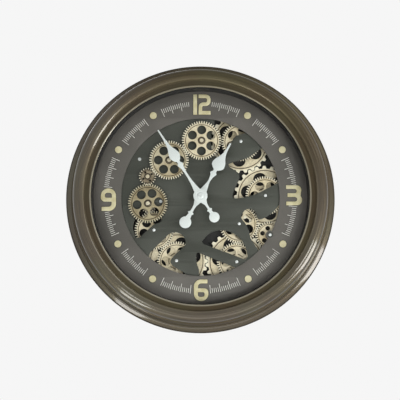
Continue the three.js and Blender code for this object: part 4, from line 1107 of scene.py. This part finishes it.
HOUR_LINE = hand_outline(
    (-66.4, 13), [
        (-50, 5.4), (-50.5, 4.8), (-48, 4.2), (-46.2, 4), (-45, 4.4), (-43.8, 6.8), (-41, 5.8),
        (-39.8, 3), (-32, 2.8), (-24, 3.4), (-20, 5)],
    [(24, 5), (37, 2.4), (50, 4), (57, 7.4)],
    [(59.4, 6.8), (61.6, 4.4), (66.4, 4.2), (69, 8), (76, 14.2), (87, 13), (97, 7.6), (108, 3.6),
     (122, 2.2)], (134, 1.6))
MINUTE_LINE = hand_outline(
    (-56, 11.4), [
        (-43.6, 4.6), (-43.8, 4), (-41.8, 3.6), (-40, 3.4), (-39, 3.8), (-38, 6), (-35.4, 5.2),
        (-34.4, 2.6), (-28, 2.6), (-22, 3.2), (-19, 4.6)],
    [(26, 4.6), (40, 3), (55, 2.4), (72, 3.6), (81.4, 6.6)],
    [(83.4, 6), (85.6, 3.8), (90, 3.4), (93.4, 7.2), (103.4, 11.7), (114, 9.6), (125, 5.2),
     (141, 2.6), (158, 2)], (172, 1.4))
BOSS_LINE = [(11.6, 1.9), (11.2, 2.35), (9.2, 2.35), (8.8, 2.1), (8.0, 2.1), (7.6, 2.5)]
CAP_LINE = [
    (2.9, 0), (6.4, 0), (6.4, 0.6), (6, 0.9), (3.6, 1.2), (3.3, 0.8), (2.9, 0.8), (2.6, 1.3),
    (0, 1.5), (0, 0.9), (2.5, 0.6)]


def raised_on(depth, line):
    """A profile of radius and height, set on a depth."""
    return [(radius, depth + height) for radius, height in line]


def hand(name, line, back, bore, degrees, body):
    blank = sawn([line, circle(0, 0, bore, 24)], back, back + HAND_THICKNESS, 0.35)
    boss = turned(raised_on(back, [(bore, 1.9)] + BOSS_LINE + [(bore, 2.5)]), 48)
    turn = math.radians(degrees)
    piece(f"{name}_blade", (blank + boss).moved(turn=turn), HAND_SILVER, name, body=body)


hand("hour_hand", HOUR_LINE, HOUR_BACK, 4.9, -29.7, "hour")
hand("minute_hand", MINUTE_LINE, MINUTE_BACK, 3.0, 32.7, "minute")
piece("hand_cap_turned", turned(raised_on(MINUTE_BACK + HAND_THICKNESS + 0.6, CAP_LINE), 40),
      HAND_SILVER, "hand_cap", body="minute")


# Nut round the hands' bush

nut_lines = [circle(0, 0, 11, 6), circle(0, 0, BUSH_RADIUS + 0.3, 32)]
piece("movement_nut_six_sided", sawn(nut_lines, ON_PLATE, 41.1, 0.5), BRASS_NUT, "movement_nut")


# Plate screws, seen from the front, and the back's screws, seen from the wall

HOOK_HEIGHT, HANGER_FOOT = 235, 221  # the keyhole's slot end, and its round hole with the screws
HANGER_SCREW_X = 18
HANGER_BACK, HANGER_FRONT = 6.3, 7.7
HANGER_SIZE, HANGER_OPENING = (46, 48), (15.2, 35.2)  # the opening is in the panel behind it
PANEL_SCREW_NODES = [f"back_panel_screw_{n}" for n in (1, 2, 3, 4)]
SCREWS = screws_recipe()

one_screw = SCREWS.made(BRIGHT_STEEL, Count=1, Spread=0.0, Grip=7.0, Recess=0.7)
for number, place in enumerate(PLATE_SCREWS, 1):
    piece(f"plate_screw_{number}_head", one_screw.moved(*place, ON_PLATE), BRIGHT_STEEL,
          f"plate_screw_{number}")
panel_screws = SCREWS.made(ZINC, Grip=9.0)
piece("back_panel_screws", panel_screws.moved(depth=PANEL_BACK - SEAT, flip=True), ZINC,
      *PANEL_SCREW_NODES)
hanger_screws = SCREWS.made(
    ZINC, Count=2, Spread=float(HANGER_SCREW_X), First=0.0, Grip=7.0, Seed=3)
piece("hanger_screws", hanger_screws.moved(0, HANGER_FOOT, HANGER_BACK - SEAT, flip=True), ZINC,
      "hanger_screw_1", "hanger_screw_2")


# Back panel with its openings, and the hanger plate with its keyhole

PANEL_RADIUS, SERVICE_OPENING = 282, (60, 60)
BOX_AT = (-74, 100)
BOX_OUTER = (56.1, 33.5)
BOX_INNER = (52.5, 29.9)
SWITCH_AT = (-22, 78)
HANGER_MIDDLE = HOOK_HEIGHT - 7
SLOT_RADIUS, ENTRY_RADIUS = 2.8, 5.6  # of the keyhole

hanger_holes = holes([(x, HANGER_FOOT) for x in (-HANGER_SCREW_X, HANGER_SCREW_X)], SCREW_HOLE)
panel_lines = [
    circle(0, 0, PANEL_RADIUS, FINE_STEPS), rectangle(0, HANGER_MIDDLE, *HANGER_OPENING),
    rectangle(0, 0, *SERVICE_OPENING), rectangle(*BOX_AT, BOX_OUTER[0] + 0.6, BOX_OUTER[1] + 0.6),
    rectangle(SWITCH_AT[0] - 2, SWITCH_AT[1], 9.6, 4.6)]
panel_lines += holes(arc(0, 0, 275.6, 45, 315, 3), SCREW_HOLE) + hanger_holes
panel_lines += holes(PLATE_SCREWS + HIDDEN_PILLARS, SPIGOT_HOLE)
piece("back_panel_board", sawn(panel_lines, PANEL_BACK, PANEL_FRONT, 0.4), BOARD, "back_panel")

meet = math.degrees(math.asin(SLOT_RADIUS / ENTRY_RADIUS))
keyhole = arc(0, HOOK_HEIGHT, SLOT_RADIUS, 0, 180, 12)
keyhole += arc(0, HANGER_FOOT, ENTRY_RADIUS, 90 + meet, 450 - meet, 24)
hanger_lines = [rectangle(0, HANGER_MIDDLE, *HANGER_SIZE), keyhole] + hanger_holes
piece("hanger_plate_pressed", sawn(hanger_lines, HANGER_BACK, HANGER_FRONT), ZINC, "hanger_plate")


# Movement, its cell and its setting knob

CELL_RADIUS, CELL_LENGTH, CELL_TIP = 7.1, 49.2, 1.3


def lying(x, y, depth, shell):
    """A turned shell laid down along x from a starting point."""
    points = [Vector((x + p.z, y + p.x, depth + p.y)) for p in shell.points]
    return Shell(points, shell.faces, shell.marks)


def cell(x, y, depth):
    """A cell that lies along x about a point, its button to the right."""
    button = CELL_LENGTH + CELL_TIP
    foot = arc(CELL_RADIUS - 0.5, 0.5, 0.5, -90, 0, 3)
    shoulder = arc(CELL_RADIUS - 0.6, CELL_LENGTH - 0.6, 0.6, 0, 90, 3)
    bar = turned([(0, 0)] + foot + shoulder + [(2.7, CELL_LENGTH), (2.7, button), (0, button)], 40)
    bar = bar.marked(lambda p: (p.z / button, 0, 1))
    return lying(x - button / 2, y, depth, bar)


MOVEMENT_WIDTH = 56
CELL_BAY = (0, -17)  # the movement's cell lies in its lower part
BAY_SIZE = (MOVEMENT_WIDTH, 22)
movement = block(*CELL_BAY, BAY_SIZE, MOVEMENT_BACK, 33.4, opening=(52.5, 15.2))
movement = movement + block(0, 11, (MOVEMENT_WIDTH, 34), MOVEMENT_BACK, MOVEMENT_FRONT, 0.8)
movement = movement + block(*CELL_BAY, BAY_SIZE, 32.2, MOVEMENT_FRONT)
movement = movement + tube(5.1, BUSH_RADIUS, MOVEMENT_FRONT - 0.3, 44.8)
piece("movement_housing", movement, BLACK_PLASTIC, "movement_case")
piece("movement_cell_jacket", cell(*CELL_BAY, MOVEMENT_BACK + 7.6), CELL, "movement_cell")

KNOB_AT = (0, 12)
knob = fluted_recipe().made(CREAM_PLASTIC).moved(*KNOB_AT, MOVEMENT_BACK - SEAT, flip=True)
knob = knob + turned([(0, 13), (2.4, 13), (2.4, 21.7), (0, 21.7)], 20).moved(*KNOB_AT)
piece("set_knob_fluted", knob, CREAM_PLASTIC, "set_knob", body="knob")


# Gear motor behind the plate

can = turned([(0, ON_PANEL), (18.5, ON_PANEL)] + arc(17.5, 20.3, 1, 0, 90, 4) + [
    (7, 21.3), (6.2, 20.9), (5.5, 21.3), (1.8, 22.0), (1.8, 26.3), (0, 26.3)], 48)
piece("gear_motor_can", can.moved(*motor["at"]), MOTOR_CAN, "gear_motor")


# Battery box for the motor, its cells, door and switch

x, y = BOX_AT
battery = block(x, y, (64.1, 41.5), ON_PANEL, 25.5, opening=BOX_INNER)
battery = battery + block(x, y, BOX_OUTER, PANEL_BACK, 13.6, opening=BOX_INNER)
battery = battery + block(x, y, (53.5, 31), 23.7, 25.4)
for side in (-1, 1):
    battery = battery + block(x + side * 27.15, y + 14.55, (1.8, 4.4), 5.2, 8.4)
piece("battery_box_moulded", battery, BLACK_PLASTIC, "battery_box")
for number, side in ((1, -1), (2, 1)):
    piece(f"motor_cell_{number}_jacket", cell(x, y + side * 7.35, 16.1), CELL,
          f"motor_cell_{number}")

RIBS = ribs_recipe()
DOOR_BACK, PIN_DEPTH, PIN_RADIUS, PIN_REACH = 6.4, 7.2, 1.1, 28
door_pin = y + BOX_INNER[1] / 2
door_foot = y - BOX_OUTER[1] / 2
door = block(x, (door_foot + door_pin) / 2, (51.9, door_pin - door_foot), DOOR_BACK, 7.7)
pin = turned([
    (0, -PIN_REACH), (PIN_RADIUS, -PIN_REACH), (PIN_RADIUS, PIN_REACH), (0, PIN_REACH)], 20)
ribs = RIBS.made(BLACK_PLASTIC, Length=26.0, Radius=0.6)
door = door + lying(x, door_pin, PIN_DEPTH, pin) + ribs.moved(x, door_foot + 9, DOOR_BACK)
piece("battery_door_ribbed", door, BLACK_PLASTIC, "battery_door", body="door")

slider = block(*SWITCH_AT, (5, 4), 5.2, 13.6) + block(*SWITCH_AT, (16, 9), ON_PANEL, 14.5, 0.2)
ribs = RIBS.made(CREAM_PLASTIC, Ribs=3, Pitch=1.2, Length=4.2, Radius=0.3)
slider = slider + ribs.moved(*SWITCH_AT, 5.3, turn=math.pi / 2)
piece("switch_slider_ribbed", slider, CREAM_PLASTIC, "switch_slider", body="switch")


# The nodes that keep their own shape

OWN_SHAPES = {f"pillar_{n}": PILLAR_STEEL for n in (1, 2, 3, 4, 5)} | {
    "hour_pipe": BRIGHT_STEEL, "minute_arbor": BRIGHT_STEEL, "switch_housing": BLACK_PLASTIC}
for node, finish in OWN_SHAPES.items():
    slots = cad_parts[node].data.materials
    slots.clear()
    slots.append(finish.material)


# Studio: a white room and a pale floor. Two long lights at the sides draw the mouldings, two soft
# ones fill from below and from the upper right, and one lights the back.

WHITE_SEEN, WHITE_LIGHT = 0.921, 0.16
FLOOR_HEIGHT, FLOOR_RADIUS, FLOOR_STEPS = -1.55, 7, 96


def on_show(tree):
    """One for rays that go straight to the background, from the camera or off metal and glass."""
    path = tree.add("ShaderNodeLightPath")
    seen = path.output("Is Camera Ray") + path.output("Is Glossy Ray")
    return (seen + path.output("Is Transmission Ray")).least(1)


world = bpy.data.worlds.new("studio")
world.use_nodes = True
room = Tree(world.node_tree)
room.tree.nodes.clear()
light = room.add("ShaderNodeBackground", {
    "Color": (1, 1, 1), "Strength": on_show(room) * (WHITE_SEEN - WHITE_LIGHT) + WHITE_LIGHT})
room.add("ShaderNodeOutputWorld", {"Surface": light})
bpy.context.scene.world = world

floor = Finish("studio_floor")
tone = floor.mix(floor.noise(2, 2, 0.5), (0.86, 0.86, 0.86), (0.9, 0.9, 0.9))
matt = floor.add("ShaderNodeBsdfDiffuse", {"Color": tone})
bright = floor.add("ShaderNodeEmission", {"Color": (1, 1, 1), "Strength": WHITE_SEEN})
floor.ended(floor.add("ShaderNodeMixShader", (on_show(floor) * 0.8, matt, bright)))
floor_mesh = bpy.data.meshes.new("studio_floor")
floor_edge = circle(0, 0, FLOOR_RADIUS, FLOOR_STEPS)
floor_mesh.from_pydata([(*p, FLOOR_HEIGHT) for p in floor_edge], [], [list(range(FLOOR_STEPS))])
floor_mesh.materials.append(floor.material)
put("studio_floor", floor_mesh)


def softbox(name, clock, tilt, distance, length, width, power):
    """A light aimed at the dial from an hour direction in degrees, tilt off the dial's axis. Its
    length runs in towards the axis, so that round mouldings carry a broad highlight."""
    c, t = math.radians(clock), math.radians(tilt)
    way = Vector((math.sin(t) * math.sin(c), -math.cos(t), math.sin(t) * math.cos(c)))
    round_dial = Vector((math.cos(c), 0, -math.sin(c)))
    turn = Matrix((round_dial.cross(way), round_dial, way)).transposed().to_4x4()
    centre = Vector((0, 0, DIAL_HEIGHT)) + way * distance
    lamp = bpy.data.lights.new(name, "AREA")
    lamp.shape, lamp.size, lamp.size_y, lamp.energy = "RECTANGLE", length, width, power
    put(name, lamp).matrix_world = Matrix.Translation(centre) @ turn


softbox("window_right", 114, 54, 1.8, 1.75, 0.46, 26)
softbox("window_left", 217, 54, 1.7, 1.45, 0.36, 12.5)
softbox("low_front", 180, 26, 1.8, 0.75, 1.3, 4.5)
softbox("upper_right", 48, 56, 1.8, 1.0, 1.0, 6)
softbox("behind", 330, 155, 2.2, 1.2, 1.2, 12)
